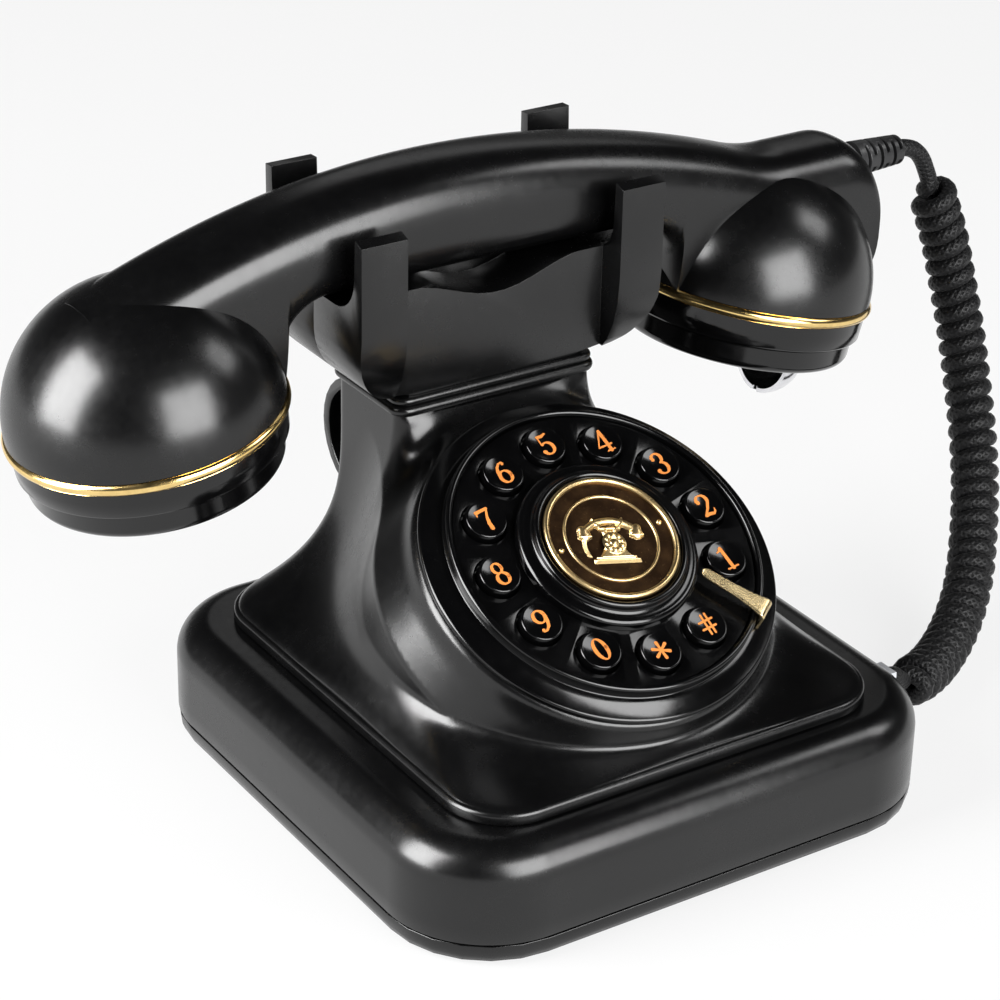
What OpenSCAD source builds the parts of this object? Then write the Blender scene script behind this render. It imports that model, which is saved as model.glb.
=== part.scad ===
// French-style cradle telephone with a push-button dial.
// Origin: bottom centre of the base, +Z up, dial towards -Y, earpiece at -X, mouthpiece at +X.

/* [Base] */
// Width of the base at its seam
base_w = 150; // [144:1:156]
// Depth of the base at its seam
base_d = 153; // [148:1:158]
// Plan radius of the base corners
base_corner = 27.5; // [24:0.5:30]
// Height of the base's flat top above the table
base_h = 31; // [30:0.5:32]
// Height of the seam between bottom plate and base shell
seam_z = 6.5; // [6:0.25:7]
// Radius of the base's top edge
base_fillet = 9; // [7:0.5:10]

/* [Body] */
// Width of the body's foot
skirt_w = 120.5; // [118:0.5:123]
// Depth of the body's foot
skirt_d = 130.5; // [128:0.5:132]
// Width of the neck under its bead
neck_w = 57; // [56:0.5:58]
// Depth of the neck under its bead
neck_d = 31; // [30:0.5:32]
// Middle of the neck behind the base's middle
neck_y = 38; // [37.5:0.25:38.5]
// Height of the neck's top edge
neck_top = 94; // [93.5:0.25:94.5]
// Wall of the moulded shells
wall = 2.4; // [2:0.1:2.6]

/* [Dial] */
// Tilt of the dial from level
dial_tilt = 31.4; // [30.5:0.1:32]
// Radius of the bezel
dial_r = 46; // [45:0.25:46.5]
// Radius of the circle through the key centres
key_ring_r = 30.7; // [30.4:0.1:31]
// Radius of a key cap
key_r = 5.2; // [5:0.1:5.4]
// Angle of key 1 from the dial's right side
key_start = -24; // [-25:0.5:-23]
// Angle from one key to the next
key_step = 29; // [28.5:0.25:29.25]
// Radius of the medallion
medallion_r = 17.5; // [17:0.25:18]

/* [Handset] */
// Distance from the middle to each cup's axis
cup_x = 89.3; // [89:0.1:89.8]
// Height of the cups' trim rings
cup_z = 101.5; // [101.3:0.1:101.7]
// Inward lean of the cups
cup_lean = 11; // [10.5:0.25:11.5]
// Radius of the domes
dome_r = 34.2; // [33.8:0.1:34.4]
// Height of the domes above the ring
dome_h = 34.8; // [34.5:0.1:35]
// Width of the handle
handle_w = 29; // [28:0.5:29.5]

/* [Cord] */
// Outer diameter of the curled cord
coil_d = 14; // [13:0.5:14.5]
// Diameter of the cord itself
cord_d = 4.8; // [4.6:0.1:5]

/* [Hidden] */
$fn = 48;
gap = 0.3;
black = [0.06, 0.06, 0.065];
gold = [0.85, 0.66, 0.3];
foot_h = 1.2;
foot_r = 6;
foot_x = 34;
foot_y = 58;
screw_x = 57;
screw_y = 58;
post_r = 4;
inlet_z = 17;
cord_jack_y = -38;
skirt_y = -1;
skirt_corner = 16.5;
skirt_lip = 3.4;
flare = 4.2;
body_z = base_h + 0.2;
dial_y = -26.4;
dial_z = 72.6;
drum_r = dial_r + 0.6;
dial_floor = -6.2;
key_hole_r = key_r + 0.35;
ear_in = 31;
ear_out = 43.8;
ear_front_y = 15;
ear_back_y = 61;
ear_front_z = 144.5;
ear_back_z = 151;
saddle_z = 126;
handle_top = 154.7;
handle_seam = 130;
handle_under = 126.4;
hook_y = 43;
hook_x = 14;
plunger_r = 2.5;

// ---------- helpers ----------
function arc(c, r, a0, a1, n) = [for (i = [0:n]) c + r * [cos(a0 + (a1 - a0) * i / n), sin(a0 + (a1 - a0) * i / n)]];
function lerp(a, b, t) = a + (b - a) * t;
// One ring of a rounded rectangle at height z, n steps to a corner
function rrect(hx, hy, r, z, yc, n) = [for (q = [0:3]) for (i = [0:n])
  let (a = 90 * q + 90 * i / n, sx = (q == 0 || q == 3) ? 1 : -1, sy = q < 2 ? 1 : -1)
  [sx * (hx - r) + r * cos(a), yc + sy * (hy - r) + r * sin(a), z]];
// Closed solid through rings of equal length, the last one on top
module loft(rings) {
  m = len(rings[0]);
  k = len(rings);
  pts = [for (ring = rings) each ring];
  sides = [for (j = [0:k - 2]) for (i = [0:m - 1])
    each [[j * m + i, (j + 1) * m + (i + 1) % m, j * m + (i + 1) % m],
          [j * m + i, (j + 1) * m + i, (j + 1) * m + (i + 1) % m]]];
  low = [for (i = [0:m - 1]) i];
  high = [for (i = [m - 1:-1:0]) (k - 1) * m + i];
  polyhedron(points = pts, faces = concat([low], [high], sides), convexity = 6);
}
// Tube swept along a list of points
function unit(v) = v / norm(v);
function tangent(p, i) = unit(p[min(i + 1, len(p) - 1)] - p[max(i - 1, 0)]);
function side_of(t) = unit(cross(t, abs(t[1]) < 0.8 ? [0, 1, 0] : [1, 0, 0]));
function tube_ring(p, i, r, n) = let (t = tangent(p, i), u = side_of(t), w = cross(t, u))
  [for (k = [0:n - 1]) p[i] + r * (cos(360 * k / n) * u - sin(360 * k / n) * w)];
module tube(p, r, n) {
  loft([for (i = [0:len(p) - 1]) tube_ring(p, i, r, n)]);
}
// Smooth curve through hand-set points, s steps to a span
function spline_pt(a, b, c, d, t) = 0.5 * ((2 * b) + (c - a) * t + (2 * a - 5 * b + 4 * c - d) * t * t
  + (3 * b - a - 3 * c + d) * t * t * t);
function spline(p, s) = [for (i = [0:len(p) - 2]) for (k = [0:(i == len(p) - 2 ? s : s - 1)])
  spline_pt(p[max(i - 1, 0)], p[i], p[i + 1], p[min(i + 2, len(p) - 1)], k / s)];
module mirror_x() {
  children();
  mirror([1, 0, 0]) children();
}
module corners(x, y) {
  for (sx = [-1, 1]) for (sy = [-1, 1]) translate([sx * x, sy * y, 0]) children();
}
module dial_frame() {
  translate([0, dial_y, dial_z]) rotate([dial_tilt, 0, 0]) children();
}
module cup_frame(side) {
  translate([side * cup_x, neck_y + 1, cup_z - side * 1.85]) rotate([0, side * cup_lean + 1.35, 0]) children();
}

// ---------- base ----------
function base_ring(inset, z, n) = rrect(base_w / 2 - inset, base_d / 2 - inset, base_corner - inset, z, 0, n);
module base_shell() {
  top = base_h;
  outer = concat([base_ring(0, seam_z + 0.2, 7)],
    [for (a = [0:15:90]) base_ring(base_fillet * (1 - cos(a)), top - base_fillet + base_fillet * sin(a), 7)]);
  inner = [base_ring(wall, seam_z - 1, 4), base_ring(wall, top - base_fillet, 4),
    base_ring(wall + base_fillet * 0.6, top - wall, 4)];
  color(black) difference() {
    union() {
      difference() {
        loft(outer);
        loft(inner);
        loft([rrect(52, 57, 12, top - 6, skirt_y, 4), rrect(52, 57, 12, top + 1, skirt_y, 4)]);
      }
      corners(screw_x, screw_y) translate([0, 0, seam_z + 0.2]) cylinder(h = top - seam_z - wall - 0.1, r = post_r);
    }
    corners(screw_x, screw_y) translate([0, 0, 0]) cylinder(h = 20, r = 1.3);
    translate([-20 - 6.2, base_d / 2 - 8, inlet_z - 6]) cube([12.4, 12, 12]);
    translate([18, base_d / 2 - 8, inlet_z - 2]) cube([9, 12, 4]);
    translate([base_w / 2 - 8, cord_jack_y - 5.2, inlet_z - 5]) cube([12, 10.4, 10]);
  }
}
module bottom_plate() {
  outer = [base_ring(1.9, foot_h, 6), base_ring(0.9, foot_h + 0.6, 6), base_ring(0.3, foot_h + 2.2, 6), base_ring(0, seam_z - 0.2, 6)];
  inner = [base_ring(wall + 0.6, foot_h + wall, 4), base_ring(wall + 0.2, seam_z + 1, 4)];
  color(black) difference() {
    union() {
      difference() {
        loft(outer);
        loft(inner);
      }
      corners(30, 12) translate([0, 46, foot_h + 1]) cylinder(h = 10, r = 2.5);
      corners(screw_x, screw_y) translate([0, 0, foot_h + 1]) cylinder(h = seam_z - foot_h - 1 + 0.05, r = post_r);
    }
    corners(screw_x, screw_y) translate([0, 0, -1]) cylinder(h = 12, r = 1.6);
    corners(screw_x, screw_y) translate([0, 0, -1]) cylinder(h = 4.2, r = 3.2);
    corners(foot_x, foot_y) translate([0, 0, -1]) cylinder(h = foot_h + 1.8, r = foot_r + 0.1);
    for (i = [-3:3]) translate([i * 5 - 1, -42, -1]) cube([2, 24, 8]);
  }
}
module rubber_feet() {
  color([0.1, 0.1, 0.1]) corners(foot_x, foot_y) cylinder(h = foot_h + 0.8, r = foot_r);
}
module bottom_screws() {
  color("silver") corners(screw_x, screw_y) {
    translate([0, 0, 1.4]) cylinder(h = 1.75, r = 2.9);
    translate([0, 0, 1.4]) cylinder(h = 16, r = 1.25);
  }
}
module ballast() {
  color([0.5, 0.5, 0.52]) translate([-35, 8, foot_h + wall + 0.2]) cube([70, 20, 5]);
}
module ringer_speaker() {
  color([0.25, 0.25, 0.27]) translate([0, -30, foot_h + wall + 0.2]) difference() {
    union() {
      cylinder(h = 3, r = 20);
      cylinder(h = 9, r = 11);
    }
    translate([0, 0, -1]) cylinder(h = 2.5, r = 17);
  }
}
module main_pcb() {
  color("darkgreen") translate([-36, 30, 12.3]) difference() {
    cube([72, 36, 1.6]);
    translate([6, 4, -1]) cylinder(h = 4, r = 1.2);
    translate([66, 4, -1]) cylinder(h = 4, r = 1.2);
  }
  color([0.15, 0.15, 0.15]) for (x = [-12, 6, 18]) translate([x, 40, 13.9]) cube([8, 12, 2.2]);
}
module line_jack() {
  color([0.15, 0.15, 0.16]) translate([-20, base_d / 2 - 0.6, inlet_z]) rotate([90, 0, 0]) difference() {
    translate([-6, -5.8, 0]) cube([12, 11.6, 9]);
    translate([-3.3, -3.4, -1]) cube([6.6, 6.4, 8]);
    translate([-1.8, -4.6, -1]) cube([3.6, 2, 8]);
  }
}
module handset_jack() {
  color([0.15, 0.15, 0.16]) translate([base_w / 2 - 0.6, cord_jack_y, inlet_z]) rotate([0, -90, 0]) difference() {
    translate([-4.8, -5, 0]) cube([9.6, 10, 9]);
    translate([-3.4, -3.9, -1]) cube([6.8, 7.8, 8.2]);
  }
}
module ringer_switch() {
  color([0.2, 0.2, 0.2]) translate([22.5, base_d / 2, inlet_z]) {
    translate([-1.5, -3, -1.8]) cube([3, 2.9, 3.6]);
    translate([-3.5, -4.6, -2.8]) cube([7, 1.6, 5.6]);
  }
}

// ---------- body ----------
function foot_t(z) = max(0, min(1, (z - body_z - skirt_lip) / (neck_top - 4 - body_z - skirt_lip)));
function swell(z) = pow(1 - foot_t(z), flare);
function half_x(z) = lerp(neck_w / 2, skirt_w / 2, swell(z));
function front_y(z) = lerp(neck_y - neck_d / 2, skirt_y - skirt_d / 2, swell(z));
function back_y(z) = lerp(neck_y + neck_d / 2, skirt_y + skirt_d / 2, swell(z));
function corner_r(z) = lerp(3.2, skirt_corner, swell(z));
function block_dist(x, y, z) = let (hy = (back_y(z) - front_y(z)) / 2, r = corner_r(z),
  qx = abs(x) - half_x(z) + r, qy = abs(y - (back_y(z) + front_y(z)) / 2) - hy + r)
  norm([max(qx, 0), max(qy, 0)]) + min(max(qx, qy), 0) - r;
function dial_h(y, z) = -(y - dial_y) * sin(dial_tilt) + (z - dial_z) * cos(dial_tilt);
function dial_v(y, z) = (y - dial_y) * cos(dial_tilt) + (z - dial_z) * sin(dial_tilt);
function drum_flare(d) = d < 8 ? 0.03 * d * d : 1.92 + 0.45 * (min(d, 16) - 8);
function drum_dist(x, y, z) = norm([x, dial_v(y, z)]) - drum_r - drum_flare(max(0, dial_floor - dial_h(y, z)));
function foot_dist(x, y) = let (r = skirt_corner - 1.2,
  qx = abs(x) - skirt_w / 2 + 1.2 + r, qy = abs(y - skirt_y) - skirt_d / 2 + 1.2 + r)
  norm([max(qx, 0), max(qy, 0)]) + min(max(qx, qy), 0) - r;
function blend_min(a, b, k) = let (h = max(k - abs(a - b), 0) / k) min(a, b) - h * h * k / 4;
function body_dist(x, y, z) = let (u = blend_min(block_dist(x, y, z), drum_dist(x, y, z), 17),
  v = -blend_min(-u, -foot_dist(x, y), 2), p = dial_h(y, z) - dial_floor) -blend_min(-v, -p, 2.5);
// Distance from the spine to the surface along a ray, by halving
function reach(cx, sx, y0, z, level, lo, hi, n) = n == 0 ? (lo + hi) / 2 :
  let (m = (lo + hi) / 2) body_dist(m * cx, y0 + m * sx, z) < level
    ? reach(cx, sx, y0, z, level, m, hi, n - 1) : reach(cx, sx, y0, z, level, lo, m, n - 1);
function spine_y(z) = lerp(skirt_y, neck_y - 6, min(1, (z - body_z) / 45));
function body_ring(z, level, n) = [for (i = [0:n - 1]) let (a = 360 * i / n, y0 = spine_y(z),
  r = reach(cos(a), sin(a), y0, z, level, 1, 95, 12)) [r * cos(a), y0 + r * sin(a), z]];
module body_shell() {
  lip = 1.2;
  outer_z = concat([for (t = [0:7]) body_z + skirt_lip + 12 * pow(t / 7, 1.3)],
    [for (z = [51.5:4:91]) z], [neck_top]);
  inner_z = [body_z - 1, 38, 42, 47, 54, 62, 70, 78, 86, neck_top + 1];
  skirt = [rrect(skirt_w / 2, skirt_d / 2, skirt_corner, body_z, skirt_y, 4)];
  color(black) difference() {
    union() {
      loft([for (z = outer_z) body_ring(z, 0, 64)]);
      loft([rrect(skirt_w / 2, skirt_d / 2, skirt_corner, body_z, skirt_y, 7),
        rrect(skirt_w / 2, skirt_d / 2, skirt_corner, body_z + skirt_lip - lip, skirt_y, 7),
        rrect(skirt_w / 2 - lip * 0.4, skirt_d / 2 - lip * 0.4, skirt_corner, body_z + skirt_lip - lip * 0.2, skirt_y, 7),
        rrect(skirt_w / 2 - lip, skirt_d / 2 - lip, skirt_corner - lip * 0.4, body_z + skirt_lip + 0.02, skirt_y, 7)]);
    }
    loft([for (z = inner_z) body_ring(z, -wall - (z < 40 ? 2 : 0), 40)]);
    dial_frame() translate([0, 0, -22]) cylinder(h = 30, r = 41);
  }
}
module collar() {
  hx = neck_w / 2;
  hy = neck_d / 2;
  steps = [[0, 0], [0.5, 0.9], [1.4, 1.5], [2.3, 1.2], [2.8, 0.5], [3.3, 0.6], [3.9, 1.1], [4.6, 0.9], [5, 0]];
  color(black) difference() {
    loft([for (s = steps) rrect(hx + s[1], hy + s[1], 3 + s[1], neck_top + 0.02 + s[0], neck_y, 5)]);
    translate([-hx + wall, neck_y - hy + wall, neck_top - 1]) cube([neck_w - 2 * wall, neck_d - 2 * wall, 8]);
  }
}
function back_face(z) = let (y0 = spine_y(z)) y0 + reach(0, 1, y0, z, 0, 1, 95, 14);
module carry_handle() {
  outer = concat([[54, 86.5]], arc([60.5, 70], 16.5, 78, -78, 12), [[54, 53.5]]);
  inner = concat([[54, 83.5]], arc([60.5, 70], 13.5, 78, -78, 12), [[54, 56.5]]);
  color(black) translate([-19, 0, 0]) rotate([90, 0, 90]) linear_extrude(38) difference() {
    polygon(outer);
    polygon(inner);
    // the ends follow the back of the body
    polygon(concat([[30, 94], [30, 46]], [for (z = [46:4:94]) [back_face(z) + 0.2, z]]));
  }
}

// ---------- cradle ----------
cradle_z = neck_top + 5.1;
module saddle_cut() {
  // space for the handle, open upwards between the ears
  rotate([90, 0, 90]) translate([0, 0, -60]) linear_extrude(120) polygon(concat(
    [[ear_front_y + 2.6, 160], [ear_front_y + 3.6, saddle_z + 9]],
    arc([ear_front_y + 12.6, saddle_z + 9], 9, 180, 270, 6),
    arc([ear_back_y - 12.6, saddle_z + 9], 9, 270, 360, 6),
    [[ear_back_y - 3.6, saddle_z + 9], [ear_back_y - 2.6, 160]]));
}
module cradle_arm() {
  // one side saddle with its two ears: side outline cut by front outline
  mid = (ear_front_y + ear_back_y) / 2;
  intersection() {
    rotate([90, 0, 90]) translate([0, 0, 20]) linear_extrude(26) polygon([
      [ear_front_y, ear_front_z], [ear_front_y, 121], [ear_front_y + 0.6, 114], [ear_front_y + 2.2, 108],
      [ear_front_y + 4.6, 103], [ear_front_y + 7.4, cradle_z + 0.3], [ear_back_y - 7.4, cradle_z + 0.3],
      [ear_back_y - 4.6, 103], [ear_back_y - 2.2, 108], [ear_back_y - 0.6, 114], [ear_back_y, 121],
      [ear_back_y, ear_back_z], [mid, 152]]);
    translate([0, 70, 0]) rotate([90, 0, 0]) linear_extrude(60) polygon(concat(
      [[22, cradle_z + 0.3]], arc([ear_out - 16, 116], 16, 272, 360, 9), [[ear_out, 160], [22, 160]]));
  }
}
module cradle_solid() {
  wx = neck_w / 2 - 1.6;
  wy = neck_d / 2 - 0.4;
  difference() {
    union() {
      mirror_x() cradle_arm();
      loft([rrect(wx, wy, 3, cradle_z, neck_y, 3), rrect(wx, wy, 3, 128, neck_y, 3)]);
    }
    saddle_cut();
    // between the ears only the low walls stay
    translate([-ear_in, 0, 0]) rotate([90, 0, 90]) linear_extrude(2 * ear_in) polygon(
      [[0, 127.4], [neck_y, 127.4], [80, 127.4], [80, 170], [0, 170]]);
    translate([0, 80, 0]) rotate([90, 0, 0]) linear_extrude(80)
      polygon(concat([[26, 140], [-26, 140]], [for (x = [-26:4:26]) [x, 124.6 - 3 * cos(x * 180 / 26)]]));
    // front wall set back between the ears
    translate([-ear_in, 0, cradle_z - 1]) cube([2 * ear_in, neck_y - wy, 60]);
    // hollow neck
    translate([-24, neck_y - wy + wall, cradle_z - 1]) cube([48, 2 * (wy - wall), 20.2]);
  }
}
module cradle_front() {
  color(black) intersection() {
    cradle_solid();
    translate([-60, 0, 90]) cube([120, neck_y - 0.05, 80]);
  }
}
module cradle_back() {
  color(black) difference() {
    union() {
      intersection() {
        cradle_solid();
        translate([-60, neck_y + 0.05, 90]) cube([120, 40, 80]);
      }
      mirror_x() translate([8.2, 40, 100]) cube([1.8, 11.2, 7]);
    }
    for (x = [-hook_x, hook_x]) translate([x, hook_y, 110]) cylinder(h = 30, r = plunger_r + 0.05);
  }
}
module hook_bar() {
  color([0.75, 0.75, 0.72]) {
    translate([-hook_x - 4, hook_y - 3, 112.3]) cube([2 * hook_x + 8, 6, 2.5]);
    for (x = [-hook_x, hook_x]) translate([x, hook_y, 114]) {
      cylinder(h = handle_under - 0.15 - 114 - 1, r = plunger_r);
      translate([0, 0, handle_under - 0.15 - 115]) cylinder(h = 1, r1 = plunger_r, r2 = plunger_r - 0.8);
    }
    translate([0, hook_y, 108.8]) cylinder(h = 4, r = 1.5);
  }
}
module hook_spring() {
  turns = 5;
  low = 106.4;
  high = 111.8;
  color("silver") tube([for (i = [0:turns * 10]) [2.6 * cos(36 * i), hook_y + 2.6 * sin(36 * i),
    lerp(low, high, i / (turns * 10))]], 0.3, 6);
}
module hook_switch() {
  color([0.2, 0.2, 0.22]) {
    translate([-8, hook_y - 5, 98]) cube([16, 10, 8]);
    translate([-3, hook_y - 2, 95]) cube([0.8, 4, 3]);
    translate([3, hook_y - 2, 95]) cube([0.8, 4, 3]);
  }
}

// ---------- dial ----------
key_names = ["1", "2", "3", "4", "5", "6", "7", "8", "9", "0", "star", "hash"];
function key_at(i) = key_ring_r * [cos(key_start + key_step * i), sin(key_start + key_step * i), 0];
module dial_bezel() {
  color(black) dial_frame() rotate_extrude() polygon(concat(
    [[40.9, -9], [40.9, -5.9], [dial_r, -5.9]], arc([dial_r - 0.9, -4.9], 0.9, 0, 80, 4),
    [[41.6, -2.6], [40.6, -2.2]], arc([39.8, 0.2], 0.8, 0, 180, 6),
    [[38.9, -1.3], [38.9, -9]]));
}
module dial_plate() {
  color(black) dial_frame() difference() {
    translate([0, 0, -2.6]) cylinder(h = 2.3, r = 38.7);
    for (i = [0:11]) translate(key_at(i) + [0, 0, -4]) cylinder(h = 5, r = key_hole_r);
    for (i = [0:11]) translate(key_at(i) + [0, 0, -0.8]) cylinder(h = 2, r = key_hole_r + 0.7);
    translate([0, 0, -4]) cylinder(h = 5, r = 10);
  }
}
module dial_clip_ring() {
  color([0.2, 0.2, 0.2]) dial_frame() rotate_extrude() polygon([[36, -12], [40.8, -12], [40.8, -9.05],
    [38.3, -9.05], [38.3, -11.1], [36, -11.1]]);
}
module keypad_membrane() {
  color([0.75, 0.75, 0.78]) dial_frame() {
    difference() {
      translate([0, 0, -8.8]) cylinder(h = 0.8, r = 38);
      translate([0, 0, -10]) cylinder(h = 4, r = 8);
    }
    for (i = [0:11]) translate(key_at(i) + [0, 0, -8]) cylinder(h = 1.6, r1 = 4.4, r2 = 3);
  }
}
module keypad_pcb() {
  color("darkgreen") dial_frame() difference() {
    translate([0, 0, -11]) cylinder(h = 1.5, r = 38);
    translate([0, 0, -12]) cylinder(h = 4, r = 6);
  }
}
module key(i) {
  color([0.09, 0.09, 0.1]) dial_frame() translate(key_at(i)) rotate_extrude() polygon(concat(
    [[0, -4.9], [key_r + 0.9, -4.9], [key_r + 0.9, -3.4], [key_r, -3.4]],
    arc([key_r - 0.6, 1.2], 0.6, 0, 90, 4), [[key_r - 1.1, 1.7], [0, 1.9]]));
}
module centre_ring() {
  color(black) dial_frame() rotate_extrude() polygon(concat(
    [[medallion_r + 0.1, -0.2], [23.3, -0.2]], arc([21.9, 1.1], 1.4, 0, 100, 6),
    [[20.6, 2.7], [19.9, 3.1]], arc([18.8, 3.8], 0.9, 10, 170, 5), [[medallion_r + 0.1, 4]]));
}
module medallion() {
  color([0.3, 0.2, 0.1]) dial_frame() rotate_extrude() polygon(
    [[0, -0.2], [medallion_r - 0.1, -0.2], [medallion_r - 0.1, 4.7], [medallion_r - 0.9, 5.2],
     [medallion_r - 1.6, 4.2], [12.4, 4.1], [12, 4.5], [11.6, 4.1], [0, 4.1]]);
}
module medallion_relief() {
  // a small old telephone: base, body, cradle bar, handset and finger dial
  color(gold) dial_frame() translate([0, 0, 4.15]) {
    linear_extrude(1.1) polygon([[-5.5, -6.4], [5.5, -6.4], [4.6, -4.6], [2.6, -3.4], [2, 2.4], [-2, 2.4], [-2.6, -3.4], [-4.6, -4.6]]);
    translate([0, -1.4, 1.1]) cylinder(h = 0.7, r = 2.6);
    for (a = [0:40:320]) translate([1.8 * cos(a), -1.4 + 1.8 * sin(a), 1.8]) cylinder(h = 0.25, r = 0.4);
    translate([-4, 2.5, 0]) cube([8, 0.9, 0.9]);
    linear_extrude(1.6) polygon(concat(arc([0, -2.6], 8.6, 42, 138, 12), arc([0, -2.6], 6.8, 138, 42, 12)));
    for (s = [-1, 1]) translate([s * 6, 1.9, 0]) cylinder(h = 1.7, r = 1.7);
  }
}
stop_turn = -54;
module finger_stop() {
  color(gold) dial_frame() translate([19, -14.6, 0]) rotate([0, 0, stop_turn]) {
    translate([0, 0, 2.4]) linear_extrude(1) polygon(concat(arc([1.4, 0], 1.4, 90, 270, 8), [[7, -1.6], [12, -1.9],
      [16.4, -2.8], [18.9, -2.9], [18.9, 2.9], [16.4, 2.8], [12, 1.9], [7, 1.6]]));
    translate([17.9, -2.9, -2.3]) cube([1, 5.8, 5.7]);
  }
}

// ---------- handset ----------
// The handle is a loft of upright sections along X
function roof_z(x) = x < -9 ? handle_top - 0.0022 * pow(x + 9, 2) :
  max(handle_top - 0.0019 * pow(x + 9, 2), 136.4 + 0.0008 * pow(max(0, 95 - x), 2));
function end_drop(x) = x > 112 ? (x > 123.3 ? 12 : 11.4 - sqrt(max(0, 130 - pow(x - 112, 2)))) : 0;
function under_z(x, floor) = let (a = abs(x) - 43.7) a <= 0 ? floor : a < 14 ? floor - 14 + sqrt(max(0, 196 - a * a)) : 96;
function section(x, w, low, high, n) = [for (i = [0:n - 1]) let (a = 360 * i / n, c = cos(a), s = sin(a),
  mid = high - 14, k = 2.6, q = sign(s) * pow(abs(s), 2 / k))
  [x, neck_y + 1 + w * sign(c) * pow(abs(c), 2 / k), s >= 0 ? mid + 14 * q : mid + (mid - low) * q]];
stations = [-106, -102, -98, -92, -86, -80, -74, -68, -62, -58.2, -57.6, -56.5, -54, -50, -44, -36, -24, -12, 0,
  12, 24, 36, 44, 50, 54, 56.5, 57.6, 58.2, 62, 68, 74, 80, 86, 92, 98, 104, 110, 115, 119, 121.6, 123];
module handle_solid(inset) {
  loft([for (x = stations) section(x, handle_w / 2 - inset,
    under_z(x, handle_under) + inset, roof_z(x) - end_drop(x) - inset, 28)]);
}
module handle_hollow() {
  loft([for (x = [-52, -46, -40, -20, 0, 20, 40, 46, 52]) section(x, handle_w / 2 - wall,
    under_z(min(50, abs(x)), handle_under) + wall, roof_z(x) - wall, 16)]);
}
function arc_oval(r, h, n) = [for (i = [0:n]) [r * cos(90 * i / n), 1.6 + (h - 1.6) * sin(90 * i / n)]];
module dome_space(side) {
  cup_frame(side) rotate_extrude() polygon(concat([[0, -18], [dome_r + 1, -18], [dome_r + 1, 1.8],
    [dome_r + 0.08, 1.8]], arc_oval(dome_r + 0.08, dome_h + 0.08, 12)));
}
module lower_strip(grow) {
  translate([-47 - grow, 0, 120]) cube([94 + 2 * grow, 80, handle_seam - 120 + grow]);
}
module handset_upper() {
  color(black) difference() {
    handle_solid(0);
    handle_hollow();
    lower_strip(0.1);
    dome_space(-1);
    dome_space(1);
    translate([100, neck_y + 1, 127.4]) rotate([0, 90, 0]) cylinder(h = 30, r = 3.6);
    translate([117.9, neck_y + 1, 127.4]) rotate([0, 90, 0]) cylinder(h = 2, r = 5.1);
  }
}
module handset_lower() {
  color(black) difference() {
    intersection() {
      handle_solid(0);
      lower_strip(0);
    }
    handle_hollow();
    for (x = [-30, 30]) translate([x, neck_y + 1, 110]) cylinder(h = 30, r = 1.6);
    for (x = [-30, 30]) translate([x, neck_y + 1, 110]) cylinder(h = handle_under + 1.6 - 110, r = 3);
  }
}
module handset_screws() {
  color("silver") for (x = [-30, 30]) translate([x, neck_y + 1, handle_under + 0.3]) {
    cylinder(h = 1.2, r = 2.8);
    cylinder(h = 8, r = 1.4);
  }
}
module handset_weight() {
  color([0.5, 0.5, 0.52]) translate([-22, neck_y + 1 - 8, 136]) cube([44, 16, 9]);
}
module dome(side) {
  color(black) difference() {
    cup_frame(side) difference() {
      rotate_extrude() difference() {
        polygon(concat([[0, 0.05], [dome_r - 1.6, 0.05], [dome_r - 1.6, 1.6], [dome_r, 1.6]], arc_oval(dome_r, dome_h, 12)));
        polygon(concat([[0, -1], [dome_r - 4.2, -1]], arc_oval(dome_r - 4.2, dome_h - wall, 12)));
      }
      rotate([0, -side * 55, 0]) translate([0, 0, 15]) cylinder(h = 30, r = 3);
    }
    if (side == 1) translate([relief_x - 0.3, neck_y + 1, relief_z]) rotate([0, 90, 0]) cylinder(h = 12, r = 5.2);
  }
}
module trim_ring(side) {
  color(gold) cup_frame(side) rotate_extrude() polygon(concat(
    [[dome_r - 1.5, -1.4], [dome_r + 0.1, -1.4]], arc([dome_r - 1, 0], 1.8, -48, 48, 6), [[dome_r - 1.5, 1.5]]));
}
module cup_cap(side) {
  cup_frame(side) difference() {
    rotate_extrude() polygon(concat(
      [[0, -15.6], [28.6, -15.6]], arc([29.2, -13.4], 2.2, 270, 360, 4),
      [[31.6, -8.9], [32, -8.4], [33.1, -8.2], [33.5, -7.6], [33.7, -1.5], [dome_r - 1.6, -1.5],
       [dome_r - 1.6, -0.05], [dome_r - 4, -0.05], [dome_r - 4, -9], [0, -13]]));
    translate([0, 0, -20]) cylinder(h = 10, r = 1.2);
    for (a = [0:60:300]) rotate([0, 0, a]) translate([7, 0, -20]) cylinder(h = 10, r = 1.2);
    for (a = [15:30:345]) rotate([0, 0, a]) translate([13, 0, -20]) cylinder(h = 10, r = 1.2);
  }
}
module receiver() {
  color([0.35, 0.35, 0.37]) cup_frame(-1) {
    translate([0, 0, -8.8]) cylinder(h = 8, r = 24);
    translate([0, 0, -0.8]) cylinder(h = 4, r = 10);
  }
}
module microphone() {
  color([0.7, 0.7, 0.7]) cup_frame(1) {
    translate([0, 0, -8.8]) cylinder(h = 6, r = 9);
    translate([0, 0, -2.8]) cylinder(h = 1.6, r = 20);
  }
}
horn_r = 11;
module mouth_horn() {
  // half a bowl under the mouthpiece, open towards the earpiece
  color([0.8, 0.8, 0.82]) cup_frame(1) translate([1, -13, -15.7]) rotate([0, 0, -90]) rotate_extrude(angle = 180)
    polygon(concat([[horn_r - 1.2, 0]], [for (a = [0:10:80]) [(horn_r - 1.2) * cos(a), -9.8 * sin(a)]], [[1.6, -9.8], [1.6, -11]],
      [for (a = [80:-10:0]) [horn_r * cos(a), -11 * sin(a)]]));
}
relief_x = 118;
relief_z = 127.4;
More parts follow.
